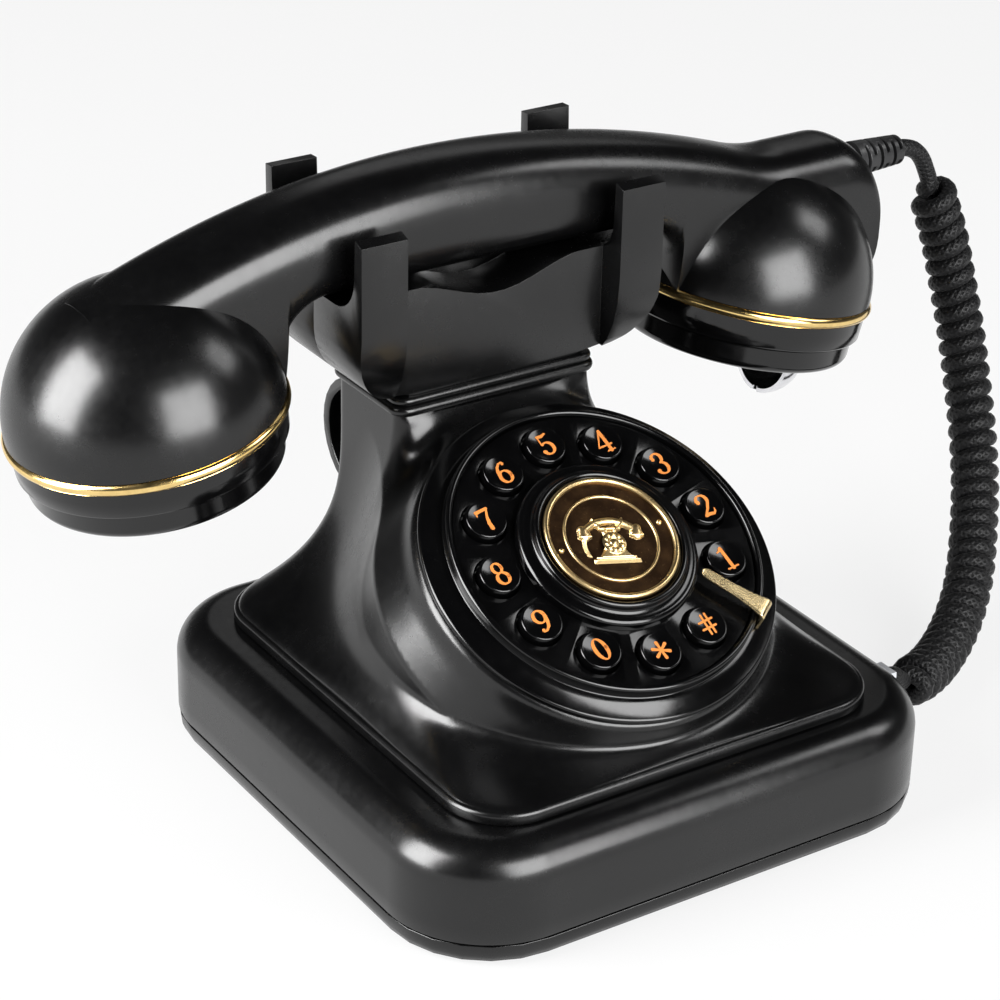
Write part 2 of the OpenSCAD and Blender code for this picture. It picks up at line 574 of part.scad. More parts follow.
module strain_relief() {
  color([0.08, 0.08, 0.085]) translate([relief_x, neck_y + 1, relief_z]) rotate([0, 90, 0]) difference() {
    rotate_extrude() polygon([[cord_d / 2 + 0.1, 0.1], [5, 0.1], [5, 1.9], [3.5, 1.9], [3.5, 5.6], [4.9, 5.6], [4, 21.5],
      [cord_d / 2 + 0.1, 21.5]]);
    for (i = [0:5]) translate([0, 0, 8 + 2.3 * i]) for (a = [0, 180]) rotate([0, 0, a + (i % 2) * 90])
      translate([3.2, -5, 0]) cube([4, 10, 1]);
  }
}
// ---------- cord ----------
cord_start = [relief_x + 21.6, neck_y + 1, relief_z];
lead_top = [cord_start, [141.8, 39, 127.4], [145, 39, 126.4], [147.5, 39, 124.5], [149.6, 39, 121.5], [151, 39, 118.5], [152, 39, 116]];
coil_route = [[152, 39, 116], [155, 38.5, 108], [158, 37, 98], [160, 34.5, 86], [161, 30.5, 73], [160.5, 25.5, 60], [158.5, 19, 47],
  [154, 11, 35.5], [147, 2, 25], [137.5, -8, 16], [126, -17, 10], [112, -26, 8], [99, -33, 9.5], [91, -36.5, 12.5]];
lead_end = [[91, -36.5, 12.5], [89.2, -37.2, 13.4], [87.4, -37.7, 15.4], [85.6, -38, 16.9], [84, -38, 17]];
module cord_lead_top() {
  color(black) tube(spline(lead_top, 2), cord_d / 2, 10);
}
module cord_coil() {
  color(black) tube(spline(coil_route, 2), coil_d / 2, 12);
}
module cord_lead_end() {
  color(black) tube(spline(lead_end, 2), cord_d / 2, 10);
}
module cord_plug() {
  color([0.55, 0.55, 0.55]) translate([0, cord_jack_y, inlet_z]) {
    translate([base_w / 2 - 6.6, -3.6, -3.1]) cube([12.6, 7.2, 6.2]);
    translate([81, -3.2, -2.8]) cube([3, 6.4, 5.6]);
  }
}

base_shell();
bottom_plate();
rubber_feet();
bottom_screws();
ballast();
main_pcb();
line_jack();
handset_jack();
ringer_speaker();
ringer_switch();
body_shell();
collar();
cradle_front();
cradle_back();
carry_handle();
hook_bar();
hook_spring();
hook_switch();
dial_bezel();
dial_plate();
dial_clip_ring();
keypad_membrane();
keypad_pcb();
key(0);  // key_1
key(1);  // key_2
key(2);  // key_3
key(3);  // key_4
key(4);  // key_5
key(5);  // key_6
key(6);  // key_7
key(7);  // key_8
key(8);  // key_9
key(9);  // key_0
key(10);  // key_star
key(11);  // key_hash
centre_ring();
medallion();
medallion_relief();
finger_stop();
handset_upper();
handset_lower();
handset_screws();
handset_weight();
dome(-1);  // earpiece_dome
dome(1);  // mouthpiece_dome
trim_ring(-1);  // earpiece_ring
trim_ring(1);  // mouthpiece_ring
color(black) cup_cap(-1);  // earpiece_cap
color(black) cup_cap(1);  // mouthpiece_cap
receiver();
microphone();
mouth_horn();
strain_relief();
cord_lead_top();
cord_coil();
cord_lead_end();
cord_plug();
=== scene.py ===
# Looks of the cradle phone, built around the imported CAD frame.
from math import asin, atan2, copysign, cos, hypot, pi, radians, sin, sqrt
import bpy
import bmesh
import numpy as np
from mathutils import Matrix, Vector


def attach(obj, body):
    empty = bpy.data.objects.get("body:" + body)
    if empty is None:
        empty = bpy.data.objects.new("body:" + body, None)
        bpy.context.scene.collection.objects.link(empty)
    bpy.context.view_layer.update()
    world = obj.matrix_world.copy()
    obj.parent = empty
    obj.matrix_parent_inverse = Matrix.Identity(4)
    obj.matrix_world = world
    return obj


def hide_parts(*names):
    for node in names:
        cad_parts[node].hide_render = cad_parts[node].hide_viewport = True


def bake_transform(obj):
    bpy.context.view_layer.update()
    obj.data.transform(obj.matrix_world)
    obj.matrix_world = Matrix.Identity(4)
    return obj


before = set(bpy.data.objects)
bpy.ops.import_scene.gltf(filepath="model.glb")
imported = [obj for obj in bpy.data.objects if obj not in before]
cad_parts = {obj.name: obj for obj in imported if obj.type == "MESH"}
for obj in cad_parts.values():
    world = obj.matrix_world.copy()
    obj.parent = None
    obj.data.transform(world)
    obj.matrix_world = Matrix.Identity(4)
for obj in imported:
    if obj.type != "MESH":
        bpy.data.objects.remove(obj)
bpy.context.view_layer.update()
MM = 0.001
ON_AXIS = 1e-6
scene = bpy.context.scene


def link(name, data):
    obj = bpy.data.objects.new(name, data)
    scene.collection.objects.link(obj)
    return obj


# ---- camera
HEADING = radians(33.53)
PITCH = radians(-27.11)
ROLL = radians(1.22)
CAMERA_MM = (-379.2, -550.5, 415.8)
LENS, SENSOR, SHIFT_X = 109.06, 36, 0.00335
fwd = Vector((sin(HEADING) * cos(PITCH), cos(HEADING) * cos(PITCH),
              sin(PITCH)))
right = Vector((cos(HEADING), -sin(HEADING), 0))
up = right.cross(fwd)
cam_x = right * cos(ROLL) + up * sin(ROLL)
cam_y = -right * sin(ROLL) + up * cos(ROLL)
cam_data = bpy.data.cameras.new("camera")
camera = link("camera", cam_data)
cam_data.lens = LENS
cam_data.sensor_width = SENSOR
cam_data.shift_x = SHIFT_X
cam_data.clip_start = 0.05
camera.matrix_world = (Matrix.Translation(Vector(CAMERA_MM) * MM)
                       @ Matrix((cam_x, cam_y, -fwd)).transposed().to_4x4())
scene.camera = camera


# ---- mesh helpers
def turned(degrees, axis="Z"):
    return Matrix.Rotation(radians(degrees), 4, axis)


def weld(mesh, dist=0.0):
    """Merges points closer than dist and turns all faces outwards."""
    bm = bmesh.new()
    bm.from_mesh(mesh)
    if dist:
        bmesh.ops.remove_doubles(bm, verts=bm.verts, dist=dist)
    bmesh.ops.recalc_face_normals(bm, faces=bm.faces)
    bm.to_mesh(mesh)
    bm.free()


def new_object(name, verts, faces, smooth=True, sharp=None):
    """Object from points in millimetres; sharp is the angle above which an edge stays sharp."""
    mesh = bpy.data.meshes.new(name)
    mesh.from_pydata([tuple(c * MM for c in v) for v in verts], [], faces)
    mesh.validate()
    weld(mesh)
    if smooth:
        mesh.shade_smooth()
        if sharp:
            mesh.set_sharp_from_angle(angle=radians(sharp))
    return link(name, mesh)


def shade(obj, sharp):
    obj.data.shade_smooth()
    obj.data.set_sharp_from_angle(angle=radians(sharp))


def apply_all(obj):
    bpy.context.view_layer.update()
    depsgraph = bpy.context.evaluated_depsgraph_get()
    mesh = bpy.data.meshes.new_from_object(obj.evaluated_get(depsgraph))
    obj.modifiers.clear()
    obj.data = mesh


def carve(obj, cutters):
    """Cuts the cutters out of obj and removes them."""
    for cutter in cutters:
        mod = obj.modifiers.new("cut", "BOOLEAN")
        mod.operation = "DIFFERENCE"
        mod.solver = "EXACT"
        mod.object = cutter
    apply_all(obj)
    for cutter in cutters:
        bpy.data.objects.remove(cutter)


def loft(rings, closed_ends=True):
    """Skin over rings that all have the same number of points."""
    m = len(rings[0])
    verts = [tuple(p) for ring in rings for p in ring]
    faces = []
    for j in range(len(rings) - 1):
        for i in range(m):
            k = (i + 1) % m
            faces.append((j * m + i, j * m + k, (j + 1) * m + k, (j + 1) * m + i))
    if closed_ends:
        faces.append(tuple(range(m - 1, -1, -1)))
        faces.append(tuple((len(rings) - 1) * m + i for i in range(m)))
    return verts, faces


def rrect(hx, hy, r, z, yc, n):
    """Rounded rectangle at height z: half sizes hx and hy, n steps to a corner."""
    out = []
    for q in range(4):
        sx = 1 if q in (0, 3) else -1
        sy = 1 if q < 2 else -1
        for i in range(n + 1):
            a = radians(90 * q + 90 * i / n)
            out.append((sx * (hx - r) + r * cos(a),
                        yc + sy * (hy - r) + r * sin(a), z))
    return out


def revolve(profile, segments, closed=True):
    """Turns a list of (radius, height) around the axis.

    A closed profile is a ring's section, an open one runs from axis to axis."""
    verts = []
    faces = []
    rows = []
    for r, h in profile:
        if r < ON_AXIS:
            rows.append([len(verts)])
            verts.append((0, 0, h))
        else:
            rows.append(list(range(len(verts), len(verts) + segments)))
            angles = [2 * pi * k / segments for k in range(segments)]
            verts += [(r * cos(a), r * sin(a), h) for a in angles]
    count = len(rows) if closed else len(rows) - 1
    for j in range(count):
        a, b = rows[j], rows[(j + 1) % len(rows)]
        for k in range(segments):
            n = (k + 1) % segments
            if len(a) == 1 and len(b) == 1:
                break
            if len(a) == 1:
                faces.append((a[0], b[k], b[n]))
            elif len(b) == 1:
                faces.append((a[k], a[n], b[0]))
            else:
                faces.append((a[k], a[n], b[n], b[k]))
    return verts, faces


def polar(r, degrees):
    return r * cos(radians(degrees)), r * sin(radians(degrees))


def arc(cx, cy, r, a0, a1, n):
    """Points on an arc, angles in degrees."""
    points = [polar(r, a0 + (a1 - a0) * i / n) for i in range(n + 1)]
    return [(cx + x, cy + y) for x, y in points]


def moved(verts, matrix):
    return [tuple(matrix @ Vector(v)) for v in verts]


def lerp(a, b, t):
    return a + (b - a) * t


# ---- sizes, as in part.scad (mm)
BASE_W, BASE_D, BASE_R, BASE_H, SEAM, FILLET = 150, 153, 27.5, 31, 6.5, 9
SKIRT_W, SKIRT_D, SKIRT_R, SKIRT_Y, LIP_H, LIP_IN = 120.5, 130.5, 16.5, -1, 3.4, 1.2
NECK_W, NECK_D, NECK_Y, NECK_TOP = 57, 31, 38, 94
BODY_Z = BASE_H + 0.2
TILT = 31.4
DIAL_Y, DIAL_Z, DIAL_R, DIAL_FLOOR = -26.4, 72.6, 46, -6.2
DRUM_R = DIAL_R + 0.6
KEY_RING_R, KEY_R, KEY_START, KEY_STEP = 30.7, 5.2, -24, 29
MEDAL_R = 17.5
CUP_X, CUP_Z, CUP_LEAN, DOME_R, DOME_H = 89.3, 101.5, 11, 34.2, 34.8
CUP_DROP, CUP_TWIST = 1.85, 1.35  # the handset lies a little lower at the mouthpiece
CAP_IN = DOME_R - 1.6
HANDLE_W, HANDLE_TOP, HANDLE_SEAM, HANDLE_UNDER, HANDLE_Y = 29, 154.7, 130, 126.4, 39
STRIP_HALF, SEAM_GAP = 46.8, 0.12
RELIEF_X, RELIEF_Z, RELIEF_LENGTH = 118, 127.4, 21.4
COIL_D, CORD_D, COIL_PITCH = 14, 4.8, 4.85
PLUG_Y = -38
WALL = 2.4

DIAL = Matrix.Translation((0, DIAL_Y, DIAL_Z)) @ turned(TILT, "X")


def cup(side):
    """Place of a cup: -1 is the earpiece, 1 the mouthpiece."""
    return (Matrix.Translation((side * CUP_X, HANDLE_Y, CUP_Z - side * CUP_DROP))
            @ turned(side * CUP_LEAN + CUP_TWIST, "Y"))


# ---- materials
class Nodes:
    """A small helper that adds nodes to one material."""

    def __init__(self, name):
        self.mat = bpy.data.materials.new(name)
        self.mat.use_nodes = True
        self.tree = self.mat.node_tree
        self.shader = self.tree.nodes["Principled BSDF"]
        self.coords = self.add("ShaderNodeTexCoord").outputs

    def add(self, kind, inputs=None, **props):
        node = self.tree.nodes.new(kind)
        for k, v in props.items():
            setattr(node, k, v)
        for k, v in (inputs or {}).items():
            self.feed(node.inputs[k], v)
        return node

    def feed(self, socket, value):
        if isinstance(value, bpy.types.NodeSocket):
            self.tree.links.new(value, socket)
        else:
            socket.default_value = value

    def set(self, **values):
        for k, v in values.items():
            self.feed(self.shader.inputs[k.replace("_", " ")], v)

    def noise(self, scale, detail=2.0, rough=0.5, vector=None):
        inputs = {"Vector": vector or self.coords["Object"], "Scale": scale,
                  "Detail": detail, "Roughness": rough}
        return self.add("ShaderNodeTexNoise", inputs).outputs["Fac"]

    def map(self, value, a0, a1, b0, b1):
        inputs = {"Value": value, "From Min": a0, "From Max": a1, "To Min": b0, "To Max": b1}
        return self.add("ShaderNodeMapRange", inputs).outputs["Result"]

    def math(self, op, a, b=0.0):
        return self.add("ShaderNodeMath", {0: a, 1: b}, operation=op).outputs[0]

    def mix(self, fac, a, b):
        """Mixes two colours: sockets 6 and 7 of the node are its colour inputs."""
        node = self.add("ShaderNodeMix", data_type="RGBA")
        self.feed(node.inputs[0], fac)
        self.feed(node.inputs[6], a)
        self.feed(node.inputs[7], b)
        return node.outputs[2]

    def bump(self, height, strength, distance, normal=None):
        inputs = {"Height": height, "Strength": strength, "Distance": distance}
        if normal:
            inputs["Normal"] = normal
        return self.add("ShaderNodeBump", inputs).outputs["Normal"]


def plastic(name, base, rough, peel=0.03, coat=0.0, spec=0.5):
    """Moulded semi-gloss plastic: faint orange peel, cloudy gloss and dust specks."""
    m = Nodes(name)
    cloud = m.noise(45, 4, 0.6)
    speck = m.map(m.noise(2600, 1, 0.5), 0.72, 0.8, 0.0, 1.0)
    lighter = tuple(min(1, c * 1.25 + 0.0003) for c in base) + (1,)
    colour = m.mix(m.map(cloud, 0.35, 0.7, 0.0, 1.0), base + (1,), lighter)
    colour = m.mix(m.math("MULTIPLY", speck, 0.05), colour, (0.10, 0.10, 0.10, 1))
    fine = m.map(m.noise(420, 3, 0.6), 0.3, 0.7, -0.02, 0.02)
    broad = m.map(cloud, 0.3, 0.7, rough - 0.025, rough + 0.035)
    m.set(Base_Color=colour, Roughness=m.math("ADD", fine, broad), Specular_IOR_Level=spec,
          Coat_Weight=coat, Coat_Roughness=0.08)
    peel_n = m.bump(m.noise(340, 2, 0.5), peel, 0.0004)
    m.set(Normal=m.bump(speck, 0.05, 0.0001, peel_n))
    return m.mat


def metal(name, base, dark, rough, brushed=False):
    """Polished or brushed metal with dulled hollows and hairline marks."""
    m = Nodes(name)
    patch = m.noise(160, 5, 0.65)
    colour = m.mix(m.map(patch, 0.4, 0.75, 0.0, 0.55), base + (1,), dark + (1,))
    stretch = m.add("ShaderNodeMapping", {"Vector": m.coords["Object"],
                                          "Scale": (30, 900, 30)})
    hair = m.noise(14, 2, 0.6, stretch.outputs[0])
    wear = m.math("ADD", patch, m.math("MULTIPLY", hair, 0.5))
    m.set(Base_Color=colour, Metallic=1.0,
          Roughness=m.map(wear, 0.5, 1.0, rough, rough + 0.16),
          Normal=m.bump(hair, 0.12 if brushed else 0.03, 0.0002))
    return m.mat


black = plastic("black_plastic", (0.0012, 0.0012, 0.0013), 0.25)
dial_black = plastic("dial_plastic", (0.0008, 0.0008, 0.0009), 0.15, 0.015, spec=0.42)
key_black = plastic("key_plastic", (0.0008, 0.0008, 0.0009), 0.12, 0.01)
cap_black = plastic("cap_plastic", (0.0012, 0.0012, 0.0013), 0.13, 0.015)
inner_black = plastic("inner_plastic", (0.02, 0.02, 0.022), 0.42, 0.12)
plug_mat = plastic("plug_plastic", (0.42, 0.43, 0.45), 0.15, 0.02, 0.4)
ink = plastic("numeral_ink", (0.50, 0.165, 0.035), 0.5, 0.1, spec=0.2)
gold = metal("gold_trim", (0.93, 0.68, 0.28), (0.55, 0.35, 0.12), 0.10)
stop_brass = metal("stop_brass", (0.78, 0.62, 0.34), (0.40, 0.29, 0.13), 0.16, True)
relief_gold = metal("relief_gold", (0.74, 0.55, 0.27), (0.22, 0.14, 0.06), 0.24)
chrome = metal("chrome_scoop", (0.80, 0.80, 0.82), (0.45, 0.45, 0.48), 0.07)
steel = metal("screw_steel", (0.55, 0.55, 0.57), (0.30, 0.30, 0.32), 0.25, True)
iron = metal("ballast_iron", (0.20, 0.20, 0.21), (0.10, 0.08, 0.07), 0.5, True)


def rubber(name, base, rough):
    """Matt rubber with a fine grain and paler rubbed patches."""
    m = Nodes(name)
    grain = m.noise(1400, 3, 0.6)
    m.set(Base_Color=m.mix(m.map(m.noise(70, 3), 0.4, 0.7, 0.0, 1.0), base + (1,),
                           tuple(c * 1.8 + 0.006 for c in base) + (1,)),
          Roughness=m.map(grain, 0.3, 0.7, rough - 0.06, rough + 0.08),
          Specular_IOR_Level=0.4, Normal=m.bump(grain, 0.14, 0.0002))
    return m.mat


relief_rubber = rubber("strain_rubber", (0.009, 0.009, 0.0095), 0.36)
foot_rubber = rubber("foot_rubber", (0.02, 0.02, 0.02), 0.7)
silicone = rubber("membrane_silicone", (0.42, 0.42, 0.44), 0.55)


def circuit():
    """Green board with copper tracks between its fields."""
    m = Nodes("circuit_board")
    brick = m.add("ShaderNodeTexBrick", {
        "Vector": m.coords["Object"], "Scale": 260.0, "Mortar Size": 0.03,
        "Color1": (0.01, 0.12, 0.04, 1), "Color2": (0.012, 0.15, 0.05, 1),
        "Mortar": (0.35, 0.22, 0.08, 1)})
    m.set(Base_Color=brick.outputs["Color"], Roughness=m.map(m.noise(300), 0.3, 0.7, 0.3, 0.45),
          Normal=m.bump(brick.outputs["Fac"], 0.1, 0.0001))
    return m.mat


board = circuit()


def bronze():
    """Aged dark bronze with warm worn patches."""
    m = Nodes("medal_bronze")
    patch = m.noise(220, 6, 0.65)
    fine = m.noise(1500, 3, 0.6)
    colour = m.mix(m.map(patch, 0.42, 0.7, 0.0, 1.0), (0.028, 0.013, 0.005, 1),
                   (0.060, 0.030, 0.011, 1))
    colour = m.mix(m.map(fine, 0.62, 0.75, 0.0, 0.5), colour, (0.22, 0.13, 0.05, 1))
    m.set(Base_Color=colour, Metallic=0.85, Roughness=m.map(patch, 0.3, 0.7, 0.28, 0.38),
          Normal=m.bump(fine, 0.10, 0.0002))
    return m.mat


medal_bronze = bronze()


def braid():
    """Woven sleeve: two crossing sets of strands on the cord's own around and along coordinates."""
    m = Nodes("cord_braid")
    uv = m.coords["UV"]
    parts = m.add("ShaderNodeSeparateXYZ", {"Vector": uv})
    around, along = parts.outputs[0], parts.outputs[1]
    a = m.math("MULTIPLY", around, 7.0)
    b = m.math("MULTIPLY", along, 620.0)
    one, two = (m.math("ABSOLUTE", m.math("SINE", m.math("MULTIPLY", m.math(op, a, b), pi)))
                for op in ("ADD", "SUBTRACT"))
    weave = m.math("MAXIMUM", one, m.math("MULTIPLY", two, 0.92))
    fray = m.noise(2300, 4, 0.7)
    height = m.math("ADD", weave, m.math("MULTIPLY", fray, 0.35))
    # painted shade: the base colour is darker in the low grooves between the strands and lighter on
    # their raised crowns
    colour = m.mix(m.map(height, 0.55, 1.3, 0.0, 1.0), (0.0008, 0.0008, 0.0009, 1),
                   (0.005, 0.005, 0.0055, 1))
    m.set(Base_Color=colour, Roughness=m.map(height, 0.5, 1.3, 0.62, 0.36),
          Specular_IOR_Level=0.25, Sheen_Weight=0.03, Sheen_Roughness=0.4,
          Normal=m.bump(height, 0.75, 0.0004))
    return m.mat


cord_mat = braid()

# the look of every CAD node that isn't a key
LOOKS = (
    (black, "base_shell bottom_plate body_shell collar cradle_front cradle_back carry_handle "
            "handset_upper handset_lower earpiece_dome mouthpiece_dome"),
    (dial_black, "dial_bezel dial_plate centre_ring"),
    (cap_black, "earpiece_cap mouthpiece_cap"),
    (inner_black, "line_jack handset_jack ringer_speaker ringer_switch hook_bar hook_switch "
                  "dial_clip_ring receiver"),
    (steel, "bottom_screws hook_spring handset_screws microphone"),
    (iron, "ballast handset_weight"),
    (board, "main_pcb keypad_pcb"),
    (gold, "earpiece_ring mouthpiece_ring"),
    (cord_mat, "cord_lead_top cord_coil cord_lead_end"),
    (foot_rubber, "rubber_feet"), (silicone, "keypad_membrane"), (medal_bronze, "medallion"),
    (relief_gold, "medallion_relief"), (stop_brass, "finger_stop"), (chrome, "mouth_horn"),
    (relief_rubber, "strain_relief"), (plug_mat, "cord_plug"))
NODE_LOOKS = {name: look for look, names in LOOKS for name in names.split()}
for name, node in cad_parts.items():
    node.data.materials.clear()
    node.data.materials.append(NODE_LOOKS.get(name, key_black))


def finish_piece(obj, body, slot, look, *nodes):
    """Gives a piece its look and its body, and hides the CAD nodes it stands for; slot is not used."""
    obj.data.materials.clear()
    obj.data.materials.append(look)
    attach(obj, body)
    if nodes:
        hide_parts(*nodes)
    return obj


# ---- cord
def spline(points, steps):
    """Smooth curve through the points (Catmull-Rom)."""
    out = []
    n = len(points)
    for i in range(n - 1):
        a, b, c, d = (Vector(points[j]) for j in (max(i - 1, 0), i, i + 1, min(i + 2, n - 1)))
        for k in range(steps if i < n - 2 else steps + 1):
            t = k / steps
            out.append(0.5 * ((2 * b) + (c - a) * t + (2 * a - 5 * b + 4 * c - d) * t * t
                              + (3 * b - a - 3 * c + d) * t ** 3))
    return out


# the cord's way in mm: lead at the handset, curled stretch, lead at the base
LEAD_TOP = [(139.6, 39, 127.4), (141.8, 39, 127.4), (145, 39, 126.4), (147.5, 39, 124.5),
            (149.6, 39, 121.5), (151, 39, 118.5), (152, 39, 116)]
COIL = [(152, 39, 116), (155, 38.5, 108), (158, 37, 98), (160, 34.5, 86), (161, 30.5, 73),
        (160.5, 25.5, 60), (158.5, 19, 47), (154, 11, 35.5), (147, 2, 25), (137.5, -8, 16),
        (126, -17, 10), (112, -26, 8), (99, -33, 9.5), (91, -36.5, 12.5)]
LEAD_END = [(91, -36.5, 12.5), (89.2, -37.2, 13.4), (87.4, -37.7, 15.4), (85.6, -38, 16.9),
            (84, -38, 17)]
AXIS_STEP, LEAD_STEP, PER_TURN, CORD_SIDES = 0.2, 1.2, 18, 14


def distances(points):
    d = [0.0]
    for p, q in zip(points, points[1:]):
        d.append(d[-1] + (q - p).length)
    return d


def resample(pts, step):
    """Points at even distances along a line, and the line's length."""
    d = distances(pts)
    count = max(2, int(round(d[-1] / step)))
    out = []
    j = 0
    for i in range(count + 1):
        s = d[-1] * i / count
        while j < len(d) - 2 and d[j + 1] < s:
            j += 1
        t = (s - d[j]) / max(1e-9, d[j + 1] - d[j])
        out.append(pts[j].lerp(pts[j + 1], min(1, max(0, t))))
    return out, d[-1]


def frames(points):
    """Directions and a pair of side vectors that turn as little as possible."""
    out = []
    side = None
    for i, p in enumerate(points):
        t = (points[min(i + 1, len(points) - 1)] - points[max(i - 1, 0)]).normalized()
        if side is None:
            side = t.cross(Vector((0, 1, 0))).normalized()
        side = (side - t * side.dot(t)).normalized()
        out.append((t, side, t.cross(side)))
    return out


def tube(path, radius, sides):
    angles = [2 * pi * k / sides for k in range(sides)]
    return loft([[p + radius * (cos(a) * u + sin(a) * w) for a in angles]
                 for p, (_, u, w) in zip(path, frames(path))])


def cord_path():
    """Centre line of the wire in mm, its coil easing into the straight leads."""
    axis, axis_len = resample(spline(COIL, 12), AXIS_STEP)
    steps = round(axis_len / COIL_PITCH) * PER_TURN
    curl_r = (COIL_D - CORD_D) / 2
    sides = frames(axis)
    helix = []
    for i in range(steps + 1):
        k = min(len(axis) - 1, int(round(i / steps * (len(axis) - 1))))
        a = 2 * pi * i / PER_TURN
        grow = min(1, i / PER_TURN * 1.4, (steps - i) / PER_TURN * 1.4)
        r = curl_r * grow * grow * (3 - 2 * grow)
        _, u, w = sides[k]
        helix.append(axis[k] + r * (cos(a) * u + sin(a) * w))
    lead_a, _ = resample(spline(LEAD_TOP, 8), LEAD_STEP)
    lead_b, _ = resample(spline(LEAD_END, 8), LEAD_STEP)
    line = lead_a[:-1] + helix + lead_b[1:]
    for _ in range(2):
        line = [line[0]] + [(line[i - 1] + 6 * line[i] + line[i + 1]) / 8
                            for i in range(1, len(line) - 1)] + [line[-1]]
    # the coil's two ends are smoothed further, from just inside each lead
    first, last = len(lead_a), len(line) - len(lead_b)
    ends = set(range(first - 5, first + 16)) | set(range(last - 15, last + 4))
    for _ in range(28):
        line = [(line[i - 1] + 2 * p + line[i + 1]) / 4 if i in ends else p
                for i, p in enumerate(line)]
    return line


def cord_uv(mesh, path):
    """UV for the braid: around the wire, and metres along it."""
    layer = mesh.uv_layers.new(name="UVMap")
    along = [d * MM for d in distances(path)]
    for poly in mesh.polygons:
        idx = [mesh.loops[li].vertex_index for li in poly.loop_indices]
        around = [v % CORD_SIDES for v in idx]
        wrap = max(around) - min(around) > CORD_SIDES / 2
        for li, v, k in zip(poly.loop_indices, idx, around):
            layer.data[li].uv = ((k + CORD_SIDES if wrap and k == 0 else k) / CORD_SIDES,
                                 along[v // CORD_SIDES])


path = cord_path()
verts, faces = tube(path, CORD_D / 2, CORD_SIDES)
cord = new_object("handset_cord", verts, faces)
cord_uv(cord.data, path)
cord.data.materials.append(cord_mat)
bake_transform(cord)
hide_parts("cord_lead_top", "cord_coil", "cord_lead_end")


# ---- base
def base_ring(inset, z, n):
    return rrect(BASE_W / 2 - inset, BASE_D / 2 - inset, BASE_R - inset, z, 0, n)


def cut_box(obj, low, high):
    """Cuts a box, given by two corners in mm, out of obj."""
    bpy.ops.mesh.primitive_cube_add(size=1)
    box = bpy.context.active_object
    box.scale = [(h - l) * MM for l, h in zip(low, high)]
    box.location = [(h + l) / 2 * MM for l, h in zip(low, high)]
    carve(obj, [box])


CORNER_STEPS, ROUND_STEPS, BASE_SHARP = 18, 18, 38
BASE_FOOT = SEAM + 0.2  # a thin gap above the bottom cover shows the seam
rings = [base_ring(inset, BASE_FOOT + rise, CORNER_STEPS)
         for inset, rise in ((WALL, 0), (0.35, 0), (0.1, 0.1), (0, 0.4))]
rings += [base_ring(0, lerp(SEAM + 0.6, BASE_H - FILLET, i / 4), CORNER_STEPS) for i in range(1, 4)]
for i in range(ROUND_STEPS + 1):
    a = pi / 2 * i / ROUND_STEPS
    rings.append(base_ring(FILLET * (1 - cos(a)), BASE_H - FILLET + FILLET * sin(a),
                           CORNER_STEPS))
# hole in the top under the body, then back down the inside
rings += [rrect(52, 57, 12, z, SKIRT_Y, CORNER_STEPS) for z in (BASE_H, BASE_H - WALL)]
rings += [base_ring(WALL + FILLET * 0.6, BASE_H - WALL, CORNER_STEPS),
          base_ring(WALL, BASE_H - FILLET, CORNER_STEPS)]
verts, faces = loft(rings + [rings[0]], False)
base = new_object("base_top_shell", verts, faces, sharp=BASE_SHARP)
weld(base.data, 1e-6)
# openings: line jack and ringer slider in the back, handset jack in the right side
cut_box(base, (-26.2, BASE_D / 2 - 8, 11), (-13.8, BASE_D / 2 + 4, 23))
cut_box(base, (18, BASE_D / 2 - 8, 15), (27, BASE_D / 2 + 4, 19))
cut_box(base, (BASE_W / 2 - 8, PLUG_Y - 5.2, 12), (BASE_W / 2 + 4, PLUG_Y + 5.2, 22))
shade(base, BASE_SHARP)
finish_piece(base, "base", "base_plastic", black, "base_shell")


# ---- body
def smooth_min(a, b, k):
    """Smaller of two distances, rounded over a width k where they meet."""
    h = np.maximum(k - np.abs(a - b), 0) / k
    return np.minimum(a, b) - h * h * k / 4


def box_dist(x, y, hx, hy, r):
    """Distance to a rounded rectangle with half sizes hx and hy."""
    qx = np.abs(x) - hx + r
    qy = np.abs(y) - hy + r
    return np.hypot(np.maximum(qx, 0), np.maximum(qy, 0)) + np.minimum(np.maximum(qx, qy), 0) - r


FLARE_POWER, NECK_R = 4.2, 3.2
DRUM_BLEND, FOOT_BLEND, RIM_BLEND = 17, 2, 2.5


def body_dist(x, y, z):
    """Below 0 inside the body: flared neck, dial drum, foot outline and dial face."""
    t = np.clip((z - BODY_Z - LIP_H) / (NECK_TOP - 4 - BODY_Z - LIP_H), 0, 1)
    s = (1 - t) ** FLARE_POWER
    hx = lerp(NECK_W / 2, SKIRT_W / 2, s)
    front = lerp(NECK_Y - NECK_D / 2, SKIRT_Y - SKIRT_D / 2, s)
    back = lerp(NECK_Y + NECK_D / 2, SKIRT_Y + SKIRT_D / 2, s)
    block = box_dist(x, y - (front + back) / 2, hx, (back - front) / 2, lerp(NECK_R, SKIRT_R, s))
    st, ct = sin(radians(TILT)), cos(radians(TILT))
    h = -(y - DIAL_Y) * st + (z - DIAL_Z) * ct
    v = (y - DIAL_Y) * ct + (z - DIAL_Z) * st
    # the drum widens behind the dial: a curve for 8 mm, a cone to 16 mm, then straight
    d = np.maximum(0, DIAL_FLOOR - h)
    widen = np.where(d < 8, 0.03 * d * d, 1.92 + 0.45 * (np.minimum(d, 16) - 8))
    drum = np.hypot(x, v) - DRUM_R - widen
    u = smooth_min(block, drum, DRUM_BLEND)
    foot = box_dist(x, y - SKIRT_Y, SKIRT_W / 2 - LIP_IN, SKIRT_D / 2 - LIP_IN, SKIRT_R - LIP_IN)
    u = -smooth_min(-u, -foot, FOOT_BLEND)
    return -smooth_min(-u, -(h - DIAL_FLOOR), RIM_BLEND)


